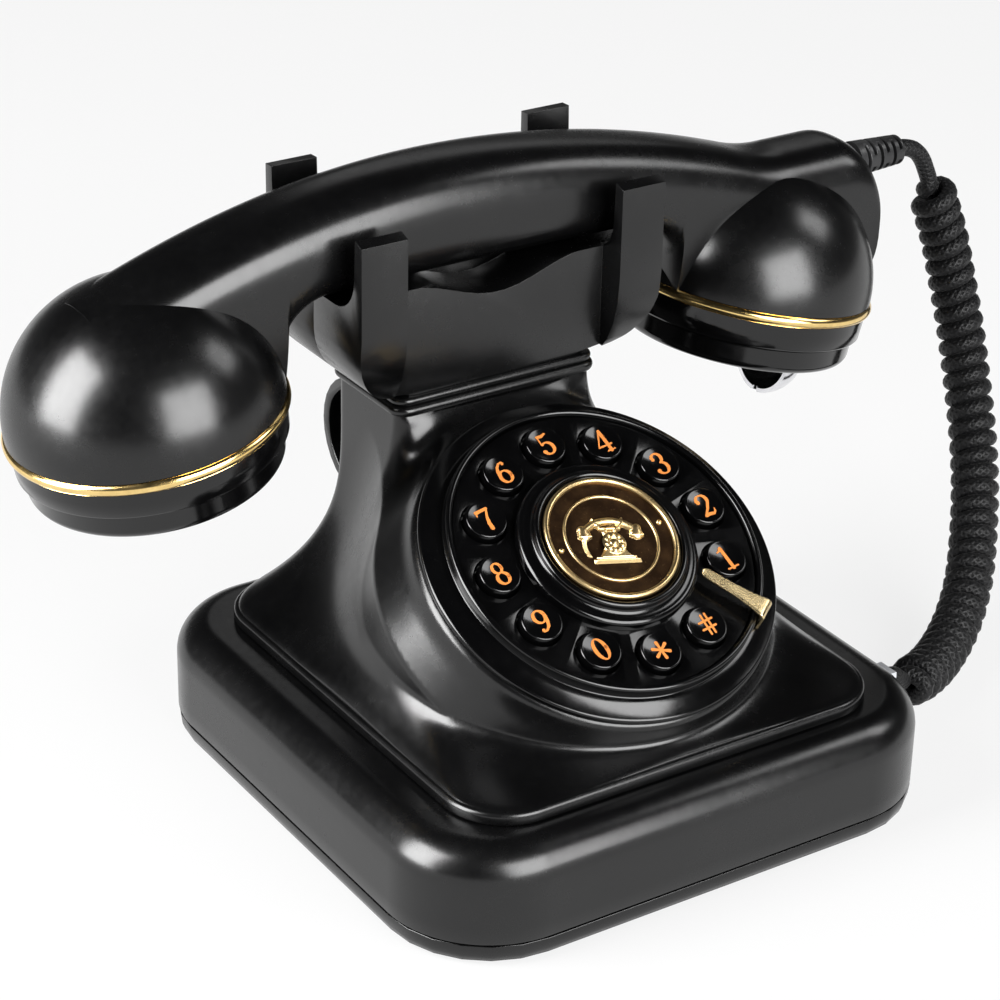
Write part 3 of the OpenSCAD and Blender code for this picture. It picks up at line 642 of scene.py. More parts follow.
def body_ring(z, count):
    """Outline of the body at height z, found along count directions by halving."""
    a = np.linspace(0, 2 * pi, count, endpoint=False)
    y0 = lerp(SKIRT_Y, NECK_Y - 6, min(1, (z - BODY_Z) / 45))
    lo = np.full(count, 1.0)
    hi = np.full(count, 95.0)
    for _ in range(26):
        m = (lo + hi) / 2
        inside = body_dist(m * np.cos(a), y0 + m * np.sin(a), z) < 0
        lo = np.where(inside, m, lo)
        hi = np.where(inside, hi, m)
    r = (lo + hi) / 2
    return [(float(r[i] * cos(a[i])), float(y0 + r[i] * sin(a[i])), z)
            for i in range(count)]


def lip_ring(inset, corner, z):
    return rrect(SKIRT_W / 2 - inset, SKIRT_D / 2 - inset, SKIRT_R - corner, z, SKIRT_Y, 24)


LIP_TOP = BODY_Z + LIP_H
BODY_COLUMNS, LIP_STEPS, LIP_DROP = 288, 7, 1.3
zs = [LIP_TOP + 0.02 + 14 * (i / 26) ** 1.5 for i in range(27)]
zs += [z for z in np.arange(zs[-1] + 0.7, NECK_TOP - 0.3, 0.7)] + [NECK_TOP]
verts, faces = loft([body_ring(z, BODY_COLUMNS) for z in zs], False)
faces.append(tuple((len(zs) - 1) * BODY_COLUMNS + i for i in range(BODY_COLUMNS)))
lip = [lip_ring(inset, inset * 0.5, z) for inset, z in (
    (3, BODY_Z), (0.5, BODY_Z), (0.15, BODY_Z + 0.15), (0, BODY_Z + 0.5), (0, LIP_TOP - LIP_DROP))]
for i in range(1, LIP_STEPS + 1):
    a = pi / 2 * i / LIP_STEPS
    inset = 1.25 * (1 - cos(a))
    lip.append(lip_ring(inset, inset * 0.6, LIP_TOP - LIP_DROP + LIP_DROP * sin(a)))
lip.append(lip_ring(4, 3, LIP_TOP + 0.01))
lip_verts, lip_faces = loft(lip, False)
faces += [tuple(i + len(verts) for i in f) for f in lip_faces]
verts += lip_verts
body = new_object("body_moulding", verts, faces, sharp=50)
finish_piece(body, "base", "body_plastic", black, "body_shell")

# ---- collar bead
section = [(-3, 0)] + arc(0.2, 1.4, 1.4, -90, 90, 10) + [(0.15, 2.85)] \
    + arc(-0.1, 3.9, 1.1, -75, 90, 9) + [(-3, 5)]
verts, faces = loft([rrect(NECK_W / 2 + out, NECK_D / 2 + out, NECK_R + out,
                           NECK_TOP + 0.02 + z, NECK_Y, 14) for out, z in section])
collar = new_object("collar_bead", verts, faces, sharp=50)
finish_piece(collar, "base", "body_plastic", black, "collar")


# ---- angular mouldings: CAD shape with eased edges
def eased(name, node, width, segments=3, angle=28):
    """Copy of a CAD node with its edges above the angle bevelled."""
    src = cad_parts[node]
    mesh = src.data.copy()
    mesh.transform(src.matrix_world)
    bm = bmesh.new()
    bm.from_mesh(mesh)
    bmesh.ops.remove_doubles(bm, verts=bm.verts, dist=2e-6)
    bmesh.ops.dissolve_limit(bm, angle_limit=radians(1.0), verts=bm.verts, edges=bm.edges)
    bm.to_mesh(mesh)
    bm.free()
    obj = link(name, mesh)
    mod = obj.modifiers.new("edges", "BEVEL")
    mod.width = width * MM
    mod.segments = segments
    mod.limit_method = "ANGLE"
    mod.angle_limit = radians(angle)
    mod.harden_normals = True
    mod.use_clamp_overlap = True
    mesh.shade_smooth()
    apply_all(obj)
    shade(obj, 42)
    return obj


for name, node, width in (("cradle_front_half", "cradle_front", 0.7),
                          ("cradle_back_half", "cradle_back", 0.7),
                          ("carry_loop", "carry_handle", 0.8)):
    finish_piece(eased(name, node, width), "base", "body_plastic", black, node)
cover = eased("bottom_cover", "bottom_plate", 0.3, 2, 40)
finish_piece(cover, "base", "base_plastic", black, "bottom_plate")
plug = finish_piece(eased("cord_plug_body", "cord_plug", 0.5, 2), "base", "plug_clear", plug_mat,
                    "cord_plug")


# ---- dial
def on_dial(name, profile, look, slot, nodes, at=(0, 0), body="base", segments=160, closed=True,
            sharp=40):
    """Turned piece on the dial; heights count from the dial's reference plane."""
    verts, faces = revolve(profile, segments, closed)
    verts = moved(verts, DIAL @ Matrix.Translation((at[0], at[1], 0)))
    return finish_piece(new_object(name, verts, faces, sharp=sharp), body, slot, look, *nodes)


section = [(40.9, -9), (40.9, -5.9), (DIAL_R - 0.2, -5.9)] + arc(DIAL_R - 0.8, -4.9, 0.8, -20, 80, 8) \
    + [(44, -3.7), (42.2, -2.9), (41.2, -2.4)] + arc(40.9, -1.9, 0.5, 260, 200, 4) \
    + arc(39.8, 0.2, 0.78, 0, 180, 14) + [(38.95, -1.2), (38.9, -9)]
on_dial("dial_bezel_ring", section, dial_black, "dial_plastic", ["dial_bezel"])


KEYS = list("1234567890") + ["star", "hash"]


def key_at(i):
    return polar(KEY_RING_R, KEY_START + KEY_STEP * i)


def dial_plate():
    """Turned plate with twelve key holes cut through it, each with a rounded mouth."""
    hole = KEY_R + 0.35
    verts, faces = revolve([(10, -2.6), (38.7, -2.6), (38.7, -0.45), (38.55, -0.3), (10, -0.3)], 200)
    obj = new_object("dial_plate_face", moved(verts, Matrix()), faces)
    mouth = arc(hole + 0.7, -0.95, 0.7, 180, 100, 6)[1:]
    tool, tool_faces = revolve([(0, -4), (hole, -4), (hole, -0.95)] + mouth
                               + [(hole + 0.75, 1), (0, 1)], 64, False)
    cutters = []
    for i in range(len(KEYS)):
        x, y = key_at(i)
        cutters.append(new_object("cutter", moved(tool, Matrix.Translation((x, y, 0))), tool_faces))
    carve(obj, cutters)
    place = DIAL.copy()
    place.translation = place.translation * MM
    obj.data.transform(place)
    shade(obj, 35)
    return obj


finish_piece(dial_plate(), "base", "dial_plastic", dial_black, "dial_plate")


def bow(cx, cy, rx, ry, a0, a1, thick, thin, n=28):
    """Part of an oval stroke, thick at its sides and thin at top and bottom."""
    out = []
    for i in range(n + 1):
        a = radians(a0 + (a1 - a0) * i / n)
        out.append((cx + rx * cos(a), cy + ry * sin(a),
                    lerp(thin, thick, abs(cos(a)) ** 1.5)))
    return out


def rays(reach, count):
    """Straight strokes through the middle, wider at their ends."""
    ends = [polar(reach, 90 + 180 / count * k) for k in range(count)]
    return [[(x, y, 0.42), (0, 0, 0.24), (-x, -y, 0.42)] for x, y in ends]


# centre lines of each numeral on a box 4 wide and 6 high, with a half width for every point
THICK, THIN, SERIF, HASH = 0.46, 0.2, 0.2, 0.27
STROKES = {
    "1": [[(0, -3, THICK), (0, 2.6, THICK)], [(-1.5, -2.85, SERIF), (1.5, -2.85, SERIF)],
          [(0, 2.7, 0.42), (-0.7, 2.15, 0.3), (-1.4, 1.95, 0.16)]],
    "2": [bow(0, 1.35, 1.45, 1.5, 170, -38, THICK, THIN) + [(0.1, -1.0, 0.34), (-1.5, -2.5, 0.25)],
          [(-1.5, -2.62, 0.36), (-0.4, -2.45, 0.42), (1.0, -2.75, 0.36), (1.6, -2.2, 0.25),
           (1.7, -1.6, 0.14)],
          [(-1.25, 1.2, 0.5), (-1.2, 1.3, 0.5)]],
    "3": [bow(0, 1.5, 1.25, 1.35, 160, -80, THICK, THIN),
          bow(-0.05, -1.3, 1.5, 1.55, 80, -165, THICK, THIN),
          [(-1.1, 1.55, 0.45), (-1.05, 1.6, 0.45)], [(-1.35, -1.75, 0.48), (-1.3, -1.7, 0.48)]],
    "4": [[(0.75, -2.9, THICK), (0.75, 2.7, THICK)], [(0.55, 2.6, 0.24), (-1.85, -1.15, 0.18)],
          [(-1.9, -1.3, 0.24), (1.8, -1.3, 0.24)], [(-0.3, -2.85, SERIF), (1.75, -2.85, SERIF)]],
    "5": [[(-0.95, 2.6, 0.18), (-1.1, 0.2, 0.18)],
          [(-0.95, 2.45, 0.38), (0.2, 2.3, 0.4), (1.4, 2.65, 0.24)],
          bow(-0.05, -1.15, 1.5, 1.6, 125, -160, THICK, THIN),
          [(-1.3, -1.9, 0.48), (-1.25, -1.85, 0.48)]],
    "6": [bow(0, -1.2, 1.45, 1.6, 0, 360, THICK, THIN),
          [(-1.42, -1.0, THICK), (-1.25, 0.4, 0.42), (-0.7, 1.7, 0.34), (0.3, 2.5, 0.24),
           (1.1, 2.55, 0.2)],
          [(1.05, 2.1, 0.38), (1.1, 2.15, 0.38)]],
    "7": [[(-1.5, 2.35, 0.42), (1.55, 2.5, 0.36)],
          [(1.6, 2.6, 0.2), (0.45, 0.4, 0.34), (0, -1.2, 0.46), (-0.05, -2.6, 0.52)],
          [(-1.55, 2.6, 0.2), (-1.65, 1.4, 0.14)]],
    "8": [bow(0, 1.45, 1.15, 1.3, 0, 360, 0.4, THIN), bow(0, -1.35, 1.45, 1.5, 0, 360, THICK, THIN)],
    "9": [bow(0, 1.2, 1.45, 1.6, 0, 360, THICK, THIN),
          [(1.42, 1.0, THICK), (1.25, -0.4, 0.42), (0.7, -1.7, 0.34), (-0.3, -2.5, 0.24),
           (-1.1, -2.55, 0.2)],
          [(-1.05, -2.1, 0.38), (-1.1, -2.15, 0.38)]],
    "0": [bow(0, 0, 1.45, 2.75, 0, 360, 0.5, 0.18)],
    "star": rays(2.1, 3),
    "hash": [[(-0.5, -2.6, HASH), (-0.1, 2.6, HASH)], [(0.7, -2.6, HASH), (1.1, 2.6, HASH)],
             [(-1.8, -0.95, HASH), (2.0, -0.95, HASH)], [(-1.7, 0.95, HASH), (2.1, 0.95, HASH)]],
}


def round_end(points, i, sign):
    """Five points around the end of a stroke."""
    x, y, w = points[i]
    nx, ny, _ = points[1 if i == 0 else len(points) - 2]
    a = atan2(y - ny, x - nx)
    return [(x + w * cos(a + sign * radians(d)), y + w * sin(a + sign * radians(d)))
            for d in (60, 30, 0, -30, -60)]


def numeral(key, height, thick):
    """Flat-topped raised strokes with round ends, each a little higher than the one before."""
    s = height / 6.0
    verts, faces = [], []
    for level, line in enumerate(STROKES[key], 1):
        top = thick + 0.004 * level
        pts = [(x * s, y * s, w * s) for x, y, w in line]
        left, right_side = [], []
        for i, (x, y, w) in enumerate(pts):
            ax, ay, _ = pts[max(i - 1, 0)]
            bx, by, _ = pts[min(i + 1, len(pts) - 1)]
            d = hypot(bx - ax, by - ay) or 1
            nx, ny = -(by - ay) / d, (bx - ax) / d
            left.append((x + nx * w, y + ny * w))
            right_side.append((x - nx * w, y - ny * w))
        outline = left + round_end(pts, len(pts) - 1, 1) + right_side[::-1] + round_end(pts, 0, 1)
        b, m, q = len(verts), len(outline), len(left)
        verts += [(x, y, 0) for x, y in outline] + [(x, y, top) for x, y in outline]
        faces += [(b + i, b + (i + 1) % m, b + m + (i + 1) % m, b + m + i) for i in range(m)]
        # the top: quads between the two sides, a fan at each end
        tops = [b + m + i for i in range(m)]
        for i in range(q - 1):
            faces.append((tops[i], tops[i + 1], tops[2 * q + 3 - i], tops[2 * q + 4 - i]))
        faces.append(tuple(tops[q - 1:q + 6]))
        faces.append(tuple(tops[2 * q + 4:] + [tops[0]]))
    return verts, faces


KEY_TOP, NUMERAL_H, INK_H, NUMERAL_TURN = 1.6, 6.3, 0.1, 8
KEY_SECTION = [(0, -4.9), (KEY_R + 0.9, -4.9), (KEY_R + 0.9, -3.4), (KEY_R, -3.4), (KEY_R, 1.2)] \
    + arc(KEY_R - 0.4, 1.35, 0.4, 0, 90, 7) + [(KEY_R - 0.8, 1.72), (KEY_R - 1.1, 1.6), (0, 1.62)]
for i, key in enumerate(KEYS):
    x, y = key_at(i)
    on_dial("keycap_" + key, KEY_SECTION, key_black, "key_plastic", ["key_" + key], (x, y),
            "key_body_" + key, 72, False, 60)
    verts, faces = numeral(key, NUMERAL_H, INK_H)
    place = Matrix.Translation((x, y, KEY_TOP)) @ turned(NUMERAL_TURN)
    num = new_object("numeral_" + key, moved(verts, DIAL @ place), faces, smooth=False)
    finish_piece(num, "key_body_" + key, "key_plastic", ink)

MEDAL_IN, MEDAL_TOP, RIVET_AT, RIVET_R = MEDAL_R - 0.1, 4.1, 14.3, 0.75
section = [(MEDAL_R + 0.1, -0.2), (23.3, -0.2)] + arc(21.9, 1.1, 1.4, 0, 100, 12) \
    + [(20.9, 2.55), (20.3, 2.75), (19.9, 3.1)] + arc(18.8, 3.8, 0.9, -10, 170, 14) \
    + [(MEDAL_R + 0.1, 3.8)]
on_dial("medal_seat_ring", section, dial_black, "dial_plastic", ["centre_ring"])
section = [(0, -0.2), (MEDAL_IN, -0.2), (MEDAL_IN, 4.2), (MEDAL_IN - 1.9, 4.15), (12.6, MEDAL_TOP),
           (0, MEDAL_TOP)]
on_dial("medal_disc", section, medal_bronze, "bronze", ["medallion"], closed=False)
section = [(MEDAL_IN, 4.0)] + arc(MEDAL_IN - 0.75, 4.45, 0.75, -10, 190, 14) + [(MEDAL_IN - 1.5, 4.0)]
on_dial("medal_outer_rim", section, relief_gold, "gold_trim", [])
section = [(12.45, 4.0)] + arc(12, 4.15, 0.42, -10, 190, 10) + [(11.55, 4.0)]
on_dial("medal_inner_rim", section, relief_gold, "gold_trim", [])
section = [(0, 4.8)] + arc(0, 4.05, RIVET_R, 80, 0, 6) + [(RIVET_R, 4.0), (0, 4.0)]
for k, a in enumerate((178, 2)):
    on_dial("medal_rivet_%d" % k, section, relief_gold, "bronze", [], polar(RIVET_AT, a),
            segments=24, closed=False)


def capsule(x, y, ax, ay, bx, by, r0, r1):
    """Distance of grid points from a line, and the line's radius there."""
    dx, dy = bx - ax, by - ay
    t = np.clip(((x - ax) * dx + (y - ay) * dy) / (dx * dx + dy * dy), 0, 1)
    d = np.hypot(x - ax - dx * t, y - ay - dy * t)
    return d, lerp(r0, r1, t)


EMBLEM_HALF, EMBLEM_CELLS, EMBLEM_SCALE, EMBLEM_RISE, EMBLEM_TURN = 8.6, 230, 1.15, 0.85, -14
EMBLEM_EDGE, EMBLEM_SINK = -0.12, -0.05  # heights below the first are left out


def emblem():
    """Generic old telephone in low relief, as a height field."""
    g = np.linspace(-EMBLEM_HALF, EMBLEM_HALF, EMBLEM_CELLS)
    x, y = np.meshgrid(g, g, indexing="ij")
    h = np.full_like(x, -1.0)

    def add(height, sharp=0.35):
        nonlocal h
        h = -smooth_min(-h, -height, sharp)

    def blob(d, r, top):
        return top * np.sqrt(np.clip(1 - (d / r) ** 2, 0, 1)) - 0.6 * np.clip(d / r - 1, 0, 3)

    def rod(top, *ends, swell=1, sharp=0.35):
        d, r = capsule(x, y, *ends)
        add(blob(d, r * swell, top), sharp)

    # flared body: width grows towards the foot
    w = 1.7 + 2.6 * np.clip((-y - 0.4) / 4.6, 0, 1) ** 1.8
    inside = np.minimum(np.minimum(w - np.abs(x), y + 5.2), 1.6 - y)
    add(np.clip(inside * 1.4, -2, 0.75))
    # stepped foot
    foot = np.minimum(5.4 - np.abs(x), 0.55 - np.abs(y + 5.6))
    add(np.clip(foot * 1.8, -2, 1.0))
    foot2 = np.minimum(4.6 - np.abs(x), 0.35 - np.abs(y + 4.75))
    add(np.clip(foot2 * 1.8, -2, 0.95))
    # handset: arch of the handle and two cups
    rr = np.hypot(x, y + 4.2)
    ang = np.degrees(np.arctan2(y + 4.2, x))
    arch = np.where((ang > 40) & (ang < 140), np.abs(rr - 8.4), 9)
    add(blob(arch, 0.85, 1.15))
    for s in (-1, 1):
        rod(1.25, s * 6.0, 1.0, s * 6.3, 2.2, 1.35, 0.9, swell=1.15)
        rod(1.1, s * 4.7, 0.35, s * 7.2, 0.35, 0.35, 0.35)
        # cradle forks
        rod(1.0, s * 1.0, 1.6, s * 3.0, 3.2, 0.4, 0.45)
        rod(1.0, s * 3.0, 3.2, s * 3.4, 4.6, 0.45, 0.3)
    rod(1.0, -2.2, 2.2, 2.2, 2.2, 0.45, 0.45)
    # finger wheel: dish, beads around it and a knob
    rd = np.hypot(x, y + 1.5)
    add(np.where(rd < 2.7, 1.25 - 0.25 * np.clip(rd / 2.7, 0, 1) ** 4, -1), 0.15)
    groove = 0.35 * np.exp(-((rd - 1.05) / 0.22) ** 2)
    h = h - np.where(rd < 2.6, groove, 0)
    for k in range(10):
        a = radians(36 * k + 10)
        d = np.hypot(x - 1.85 * cos(a), y + 1.5 - 1.85 * sin(a))
        h = h + 0.45 * np.exp(-(d / 0.34) ** 2)
    h = h + 0.35 * np.exp(-(rd / 0.55) ** 2)
    # curled cord down the left side
    for k in range(15):
        t = k / 14
        cx, cy = -6.1 - 0.5 * sin(pi * t), 0.2 - 4.6 * t
        rod(0.55, cx - 0.32, cy + 0.1, cx + 0.32, cy - 0.1, 0.2, 0.2, sharp=0.1)
    verts, faces = [], []
    index = -np.ones(x.shape, int)
    for i, j in np.ndindex(x.shape):
        if h[i, j] > EMBLEM_EDGE:
            index[i, j] = len(verts)
            verts.append((EMBLEM_SCALE * x[i, j], EMBLEM_SCALE * y[i, j],
                          MEDAL_TOP + max(EMBLEM_SINK, float(h[i, j]) * EMBLEM_RISE)))
    for i, j in np.ndindex(EMBLEM_CELLS - 1, EMBLEM_CELLS - 1):
        corners = (index[i, j], index[i + 1, j], index[i + 1, j + 1], index[i, j + 1])
        if min(corners) >= 0:
            faces.append(tuple(int(k) for k in corners))
    return new_object("medal_emblem", moved(verts, DIAL @ turned(EMBLEM_TURN)), faces)


finish_piece(emblem(), "base", "gold_trim", relief_gold, "medallion_relief")


STOP_H, STOP_END, STOP_BEND, STOP_SIDES = 2.9, 17.2, 1.2, 20


def finger_stop():
    """Dished strip that widens outwards, then bends down over the dial's rim."""
    turn = Matrix.Translation((19, -14.6, 0)) @ turned(-54)
    # distance outwards, height, half width, lean
    stations = [(x, STOP_H, w, 0)
                for x, w in ((0.02, 0.2), (0.12, 0.6), (0.45, 1.05), (1.0, 1.32), (1.7, 1.42))]
    stations += [(x, STOP_H, 1.45 + 1.4 * (x / STOP_END) ** 3, 0) for x in np.linspace(3, STOP_END, 16)]
    for i in range(1, 9):
        a = radians(90 * i / 8)
        stations.append((STOP_END + STOP_BEND * sin(a),
                         STOP_H - STOP_BEND + STOP_BEND * cos(a), 2.87, a))
    stations += [(18.4, 0.2, 2.9, pi / 2), (18.4, -2.2, 2.9, pi / 2)]
    rings = []
    for r, h, w, a in stations:
        ring = []
        for k in range(STOP_SIDES):
            t = 2 * pi * k / STOP_SIDES
            c, s = cos(t), sin(t)
            across = w * copysign(abs(c) ** 0.35, c)
            dish = -0.2 * (1 - (across / w) ** 2) if s > 0 else 0
            out = 0.5 * copysign(abs(s) ** 0.55, s) + dish
            ring.append((r + out * sin(a), across, h + out * cos(a)))
        rings.append(ring)
    verts, faces = loft(rings)
    return new_object("stop_strip", moved(verts, DIAL @ turn), faces, sharp=60)


finish_piece(finger_stop(), "base", "gold_trim", stop_brass, "finger_stop")


# ---- handset
UPPER_R, UNDER_R, END_X, SQUARE = 14, 14, 112, 2 / 2.6


def roof(x):
    """Height of the handle's back at x, lower and nearly level towards the mouthpiece."""
    if x < -9:
        return HANDLE_TOP - 0.0022 * (x + 9) ** 2
    return max(HANDLE_TOP - 0.0019 * (x + 9) ** 2, 136.4 + 0.0008 * max(0, 95 - x) ** 2)


def soft_roof(x):
    return sum(roof(x + d) for d in (-6, -3, 0, 3, 6)) / 5


def end_drop(x):
    """How far the rounded end at the strain relief falls away."""
    if x <= END_X:
        return 0
    return 12 if x > 123.3 else 11.4 - sqrt(max(0, 130 - (x - END_X) ** 2))


def under(x):
    """Height of the handle's underside: level in the middle, then down into the domes."""
    a = abs(x) - 43.7
    if a <= 0:
        return HANDLE_UNDER
    return HANDLE_UNDER - UNDER_R + sqrt(max(0, UNDER_R ** 2 - a * a)) if a < UNDER_R else 96


def handle_point(x, a):
    """Point of the handle's section at x: a squarish oval."""
    low, high = under(x), soft_roof(x) - end_drop(x)
    mid = high - UPPER_R
    c, s = cos(a), sin(a)
    return (x, HANDLE_Y + HANDLE_W / 2 * copysign(abs(c) ** SQUARE, c),
            mid + (UPPER_R if s >= 0 else mid - low) * copysign(abs(s) ** SQUARE, s))


def seam_angle(x, cut_z):
    """Angle below the middle at which the section crosses height cut_z."""
    low, mid = under(x), soft_roof(x) - end_drop(x) - UPPER_R
    return asin(min(0.97, max(0.03, (mid - cut_z) / (mid - low))) ** 1.3)


def chord(p, q, n):
    return [tuple(lerp(u, v, i / n) for u, v in zip(p, q)) for i in range(1, n)]


def upper_ring(x):
    """Section of the upper half, closed by a flat seam where the lower strip sits."""
    a0 = seam_angle(x, HANDLE_SEAM + SEAM_GAP)
    ring = [handle_point(x, -a0 + (pi + 2 * a0) * i / 56) for i in range(57)]
    if abs(x) < STRIP_HALF + 0.2:
        return ring + chord(ring[-1], ring[0], 24)
    return ring + [handle_point(x, pi + a0 + (pi - 2 * a0) * i / 24) for i in range(1, 24)]


def strip_ring(x):
    a0 = seam_angle(x, HANDLE_SEAM - SEAM_GAP)
    ring = [handle_point(x, pi + a0 + (pi - 2 * a0) * i / 36) for i in range(37)]
    return ring + chord(ring[-1], ring[0], 6)


# stations along the handle, close together at its ends and at the lower strip's ends
xs = [-106, -105.6, -104.8, -103.5, -102]
for start, stop, step in ((-100, -60, 1.6), (-59.5, -47.2, 0.5)):
    xs += list(np.arange(start, stop, step))
xs += [-47.05, -46.95] + list(np.arange(-46.5, -43, 0.5)) + list(np.arange(-42, 43, 2.0))
xs += list(np.arange(43.5, 46.6, 0.5)) + [46.95, 47.05] + list(np.arange(47.5, 59.6, 0.5))
xs += list(np.arange(60, END_X, 1.6)) + list(np.arange(112.5, 120, 1.0))
xs += [120.3, 121, 121.6, 122.1, 122.5, 122.8, 123]
xs = [float(x) for x in xs]
verts, faces = loft([upper_ring(x) for x in xs])
half = new_object("handle_upper_half", verts, faces, sharp=45)
finish_piece(half, "handset", "handset_plastic", black, "handset_upper")
strip_xs = [-STRIP_HALF] + [x for x in xs if abs(x) < STRIP_HALF - 0.2] + [STRIP_HALF]
verts, faces = loft([strip_ring(x) for x in strip_xs])
half = new_object("handle_lower_strip", verts, faces, sharp=45)
finish_piece(half, "handset", "handset_plastic", black, "handset_lower")


def on_cup(name, side, profile, look, slot, nodes, closed=True, sharp=40):
    """Turned piece on a cup's axis; heights count from the trim ring's middle."""
    verts, faces = revolve(profile, 160, closed)
    return finish_piece(new_object(name, moved(verts, cup(side)), faces, sharp=sharp), "handset",
                        slot, look, *nodes)


def hole_ring(radius, count, first):
    return [polar(radius, first + 360 / count * k) for k in range(count)]


CAP_SHARP = 32
DOME = [(0, 0.05), (CAP_IN, 0.05), (CAP_IN, 1.5)]
DOME += [(DOME_R * cos(pi / 2 * i / 40), 1.6 + (DOME_H - 1.6) * sin(pi / 2 * i / 40))
         for i in range(40)] + [(0, DOME_H)]
TRIM = [(DOME_R - 1.5, -1.4), (DOME_R, -1.4)] + arc(DOME_R - 0.75, 0, 1.5, -62, 62, 12) \
    + [(DOME_R, 1.4), (DOME_R - 1.5, 1.5)]
CAP = [(0, -15.6), (27, -15.6)] + arc(28.6, -12.6, 3.0, 270, 350, 9) + [
    (31.75, -9.3), (31.85, -8.95), (31.7, -8.75), (32.4, -8.6), (33.0, -8.3), (33.35, -7.8),
    (33.55, -4.5), (33.6, -1.5), (CAP_IN, -1.5), (CAP_IN, -0.05), (DOME_R - 4, -0.05),
    (DOME_R - 4, -9), (0, -12)]
HOLES = [(0, 0)] + hole_ring(7, 6, 0) + hole_ring(13, 12, 15)

for side, word in ((-1, "ear"), (1, "mouth")):
    on_cup(word + "_dome", side, DOME, black, "handset_plastic", [word + "piece_dome"], False)
    on_cup(word + "_trim", side, TRIM, gold, "gold_trim", [word + "piece_ring"], sharp=60)
    verts, faces = revolve(CAP, 160, False)
    cap = new_object(word + "_cap", moved(verts, cup(side)), faces, sharp=CAP_SHARP)
    drill, drill_faces = revolve([(0, -20), (1.2, -20), (1.2, -10), (0, -10)], 20, False)
    verts, faces = [], []
    for x, y in HOLES:
        faces += [tuple(i + len(verts) for i in f) for f in drill_faces]
        verts += moved(drill, cup(side) @ Matrix.Translation((x, y, 0)))
    carve(cap, [new_object("cutter", verts, faces, smooth=False)])
    shade(cap, CAP_SHARP)
    finish_piece(cap, "handset", "handset_plastic", cap_black, word + "piece_cap")


SCOOP_R, SCOOP_WALL = 11, 1.1


def scoop():
    """Half bowl under the mouthpiece, open towards the earpiece."""
    bend = [radians(a) for a in np.linspace(0, 84, 24)]
    back = [radians(a) for a in np.linspace(84, 0, 24)]
    inner = SCOOP_R - SCOOP_WALL
    section = [(SCOOP_R * cos(a), -SCOOP_R * sin(a)) for a in bend] \
        + [(inner * cos(a), -inner * sin(a)) for a in back]
    rings = []
    for j in range(33):
        b = radians(180 * j / 32)
        rings.append([(r * sin(b), -r * cos(b), h) for r, h in section])
    verts, faces = loft(rings)
    place = cup(1) @ Matrix.Translation((1, -13, -15.7))
    return new_object("mouth_scoop", moved(verts, place), faces, sharp=50)


finish_piece(scoop(), "handset", "chrome", chrome, "mouth_horn")


def relief_radius(x, t):
    """Radius of the strain relief at x and angle t: plug, collar, then a slotted taper."""
    if x < 1.8:
        r = 5.0
    elif x < 5.5:
        r = 3.5
    else:
        r = lerp(4.95, 4.05, (x - 5.5) / 15.9)
    for slot in range(6):
        lo = 7.8 + 2.3 * slot
        depth = min(1, max(0, min(x - lo, lo + 1.1 - x) / 0.12))
        window = abs(cos(t)) if slot % 2 == 0 else abs(sin(t))
        r = r - 1.25 * depth * min(1, max(0, (window - 0.35) / 0.12))
    if x > RELIEF_LENGTH - 0.6:
        r -= 0.5 * ((x - RELIEF_LENGTH + 0.6) / 0.6) ** 2
    return r


def relief():
    """Tapered strain relief with offset half slots."""
    rings = []
    for i in range(131):
        x = RELIEF_LENGTH * i / 130
        ring = []
        for k in range(72):
            t = 2 * pi * k / 72
            r = relief_radius(x, t)
            ring.append((RELIEF_X + x, HANDLE_Y + r * cos(t), RELIEF_Z + r * sin(t)))
        rings.append(ring)
    verts, faces = loft(rings)
    return new_object("cord_relief", verts, faces, sharp=50)


sleeve = finish_piece(relief(), "handset", "relief_rubber", relief_rubber, "strain_relief")

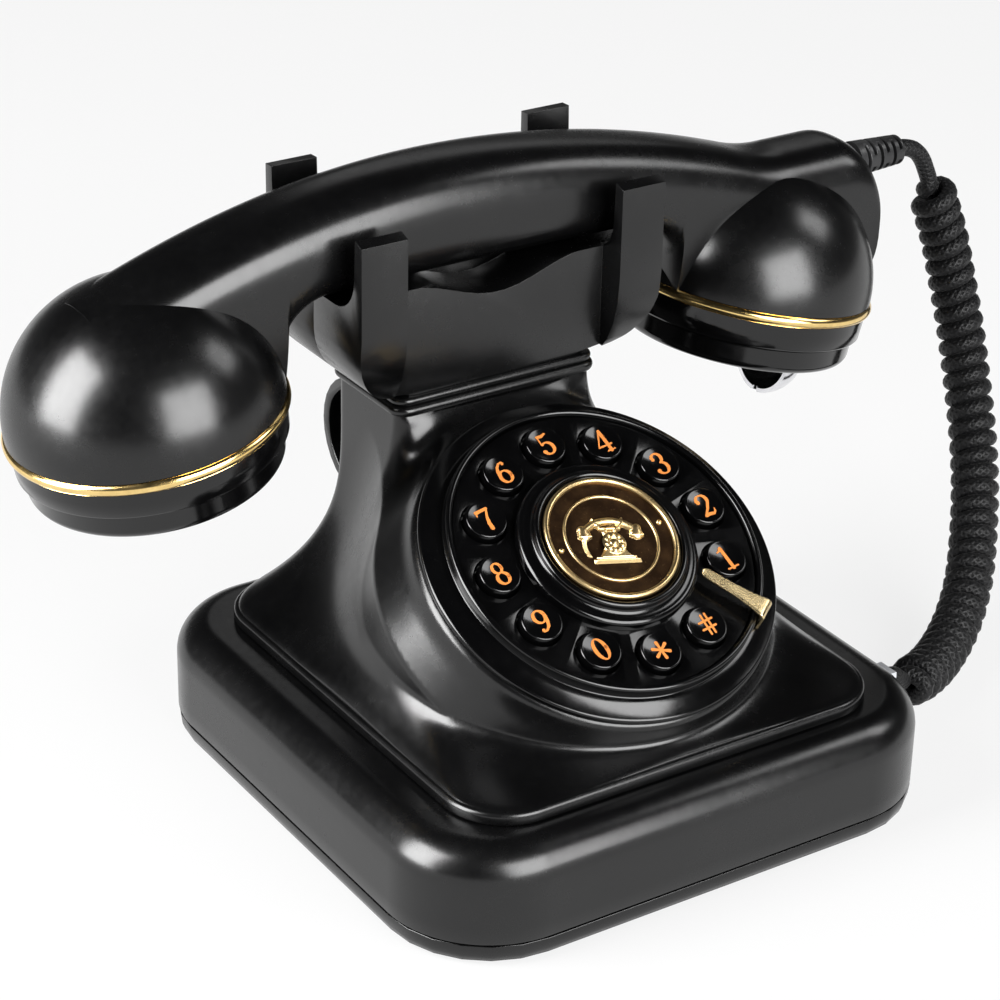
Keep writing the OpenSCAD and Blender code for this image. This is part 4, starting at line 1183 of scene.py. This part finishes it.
# ---- stage and light
def floor(half=3):
    """White paper that gives off most of its own light."""
    mesh = bpy.data.meshes.new("floor")
    mesh.from_pydata([(-half, -half, 0), (half, -half, 0), (half, half, 0), (-half, half, 0)], [],
                     [(0, 1, 2, 3)])
    obj = link("floor", mesh)
    m = Nodes("floor_paper")
    paper = m.mix(m.noise(3), (0.085, 0.085, 0.085, 1), (0.095, 0.095, 0.095, 1))
    m.set(Base_Color=paper, Roughness=0.8, Specular_IOR_Level=0.0, Emission_Color=(1, 1, 1, 1),
          Emission_Strength=0.82)
    mesh.materials.append(m.mat)


floor()
world = bpy.data.worlds.new("studio")
scene.world = world
world.use_nodes = True
tree = world.node_tree
coord = tree.nodes.new("ShaderNodeTexCoord")
parts = tree.nodes.new("ShaderNodeSeparateXYZ")
ramp = tree.nodes.new("ShaderNodeMapRange")
ramp.interpolation_type = "SMOOTHSTEP"
for socket, value in (("From Min", 0.0), ("From Max", 0.45), ("To Min", 0.09), ("To Max", 0.012)):
    ramp.inputs[socket].default_value = value
tree.links.new(coord.outputs["Generated"], parts.inputs[0])
tree.links.new(parts.outputs[2], ramp.inputs["Value"])
tree.links.new(ramp.outputs["Result"], tree.nodes["Background"].inputs["Strength"])
tree.nodes["Background"].inputs["Color"].default_value = (1, 1, 1, 1)


AIM_HEIGHT = 0.08


def softbox(name, azimuth, elevation, distance, width, height, radiance):
    """Area light aimed at the phone; azimuth runs from +Y towards +X."""
    az, el = radians(azimuth), radians(elevation)
    way = Vector((sin(az) * cos(el), cos(az) * cos(el), sin(el)))
    data = bpy.data.lights.new(name, "AREA")
    data.shape = "RECTANGLE"
    data.size = width
    data.size_y = height
    data.energy = radiance * width * height * pi
    obj = link(name, data)
    obj.location = way * distance + Vector((0, 0, AIM_HEIGHT))
    obj.rotation_euler = (-way).to_track_quat("-Z", "Y").to_euler()


softbox("left_box", -79, 24, 1.3, 0.75, 1.15, 20)
softbox("front_box", 173, 21, 1.3, 0.95, 0.9, 12)
softbox("right_box", 113, 40, 1.4, 0.4, 0.5, 6)
softbox("back_box", 36, 28, 1.5, 0.8, 0.35, 0.5)
scene.view_settings.view_transform = "Standard"
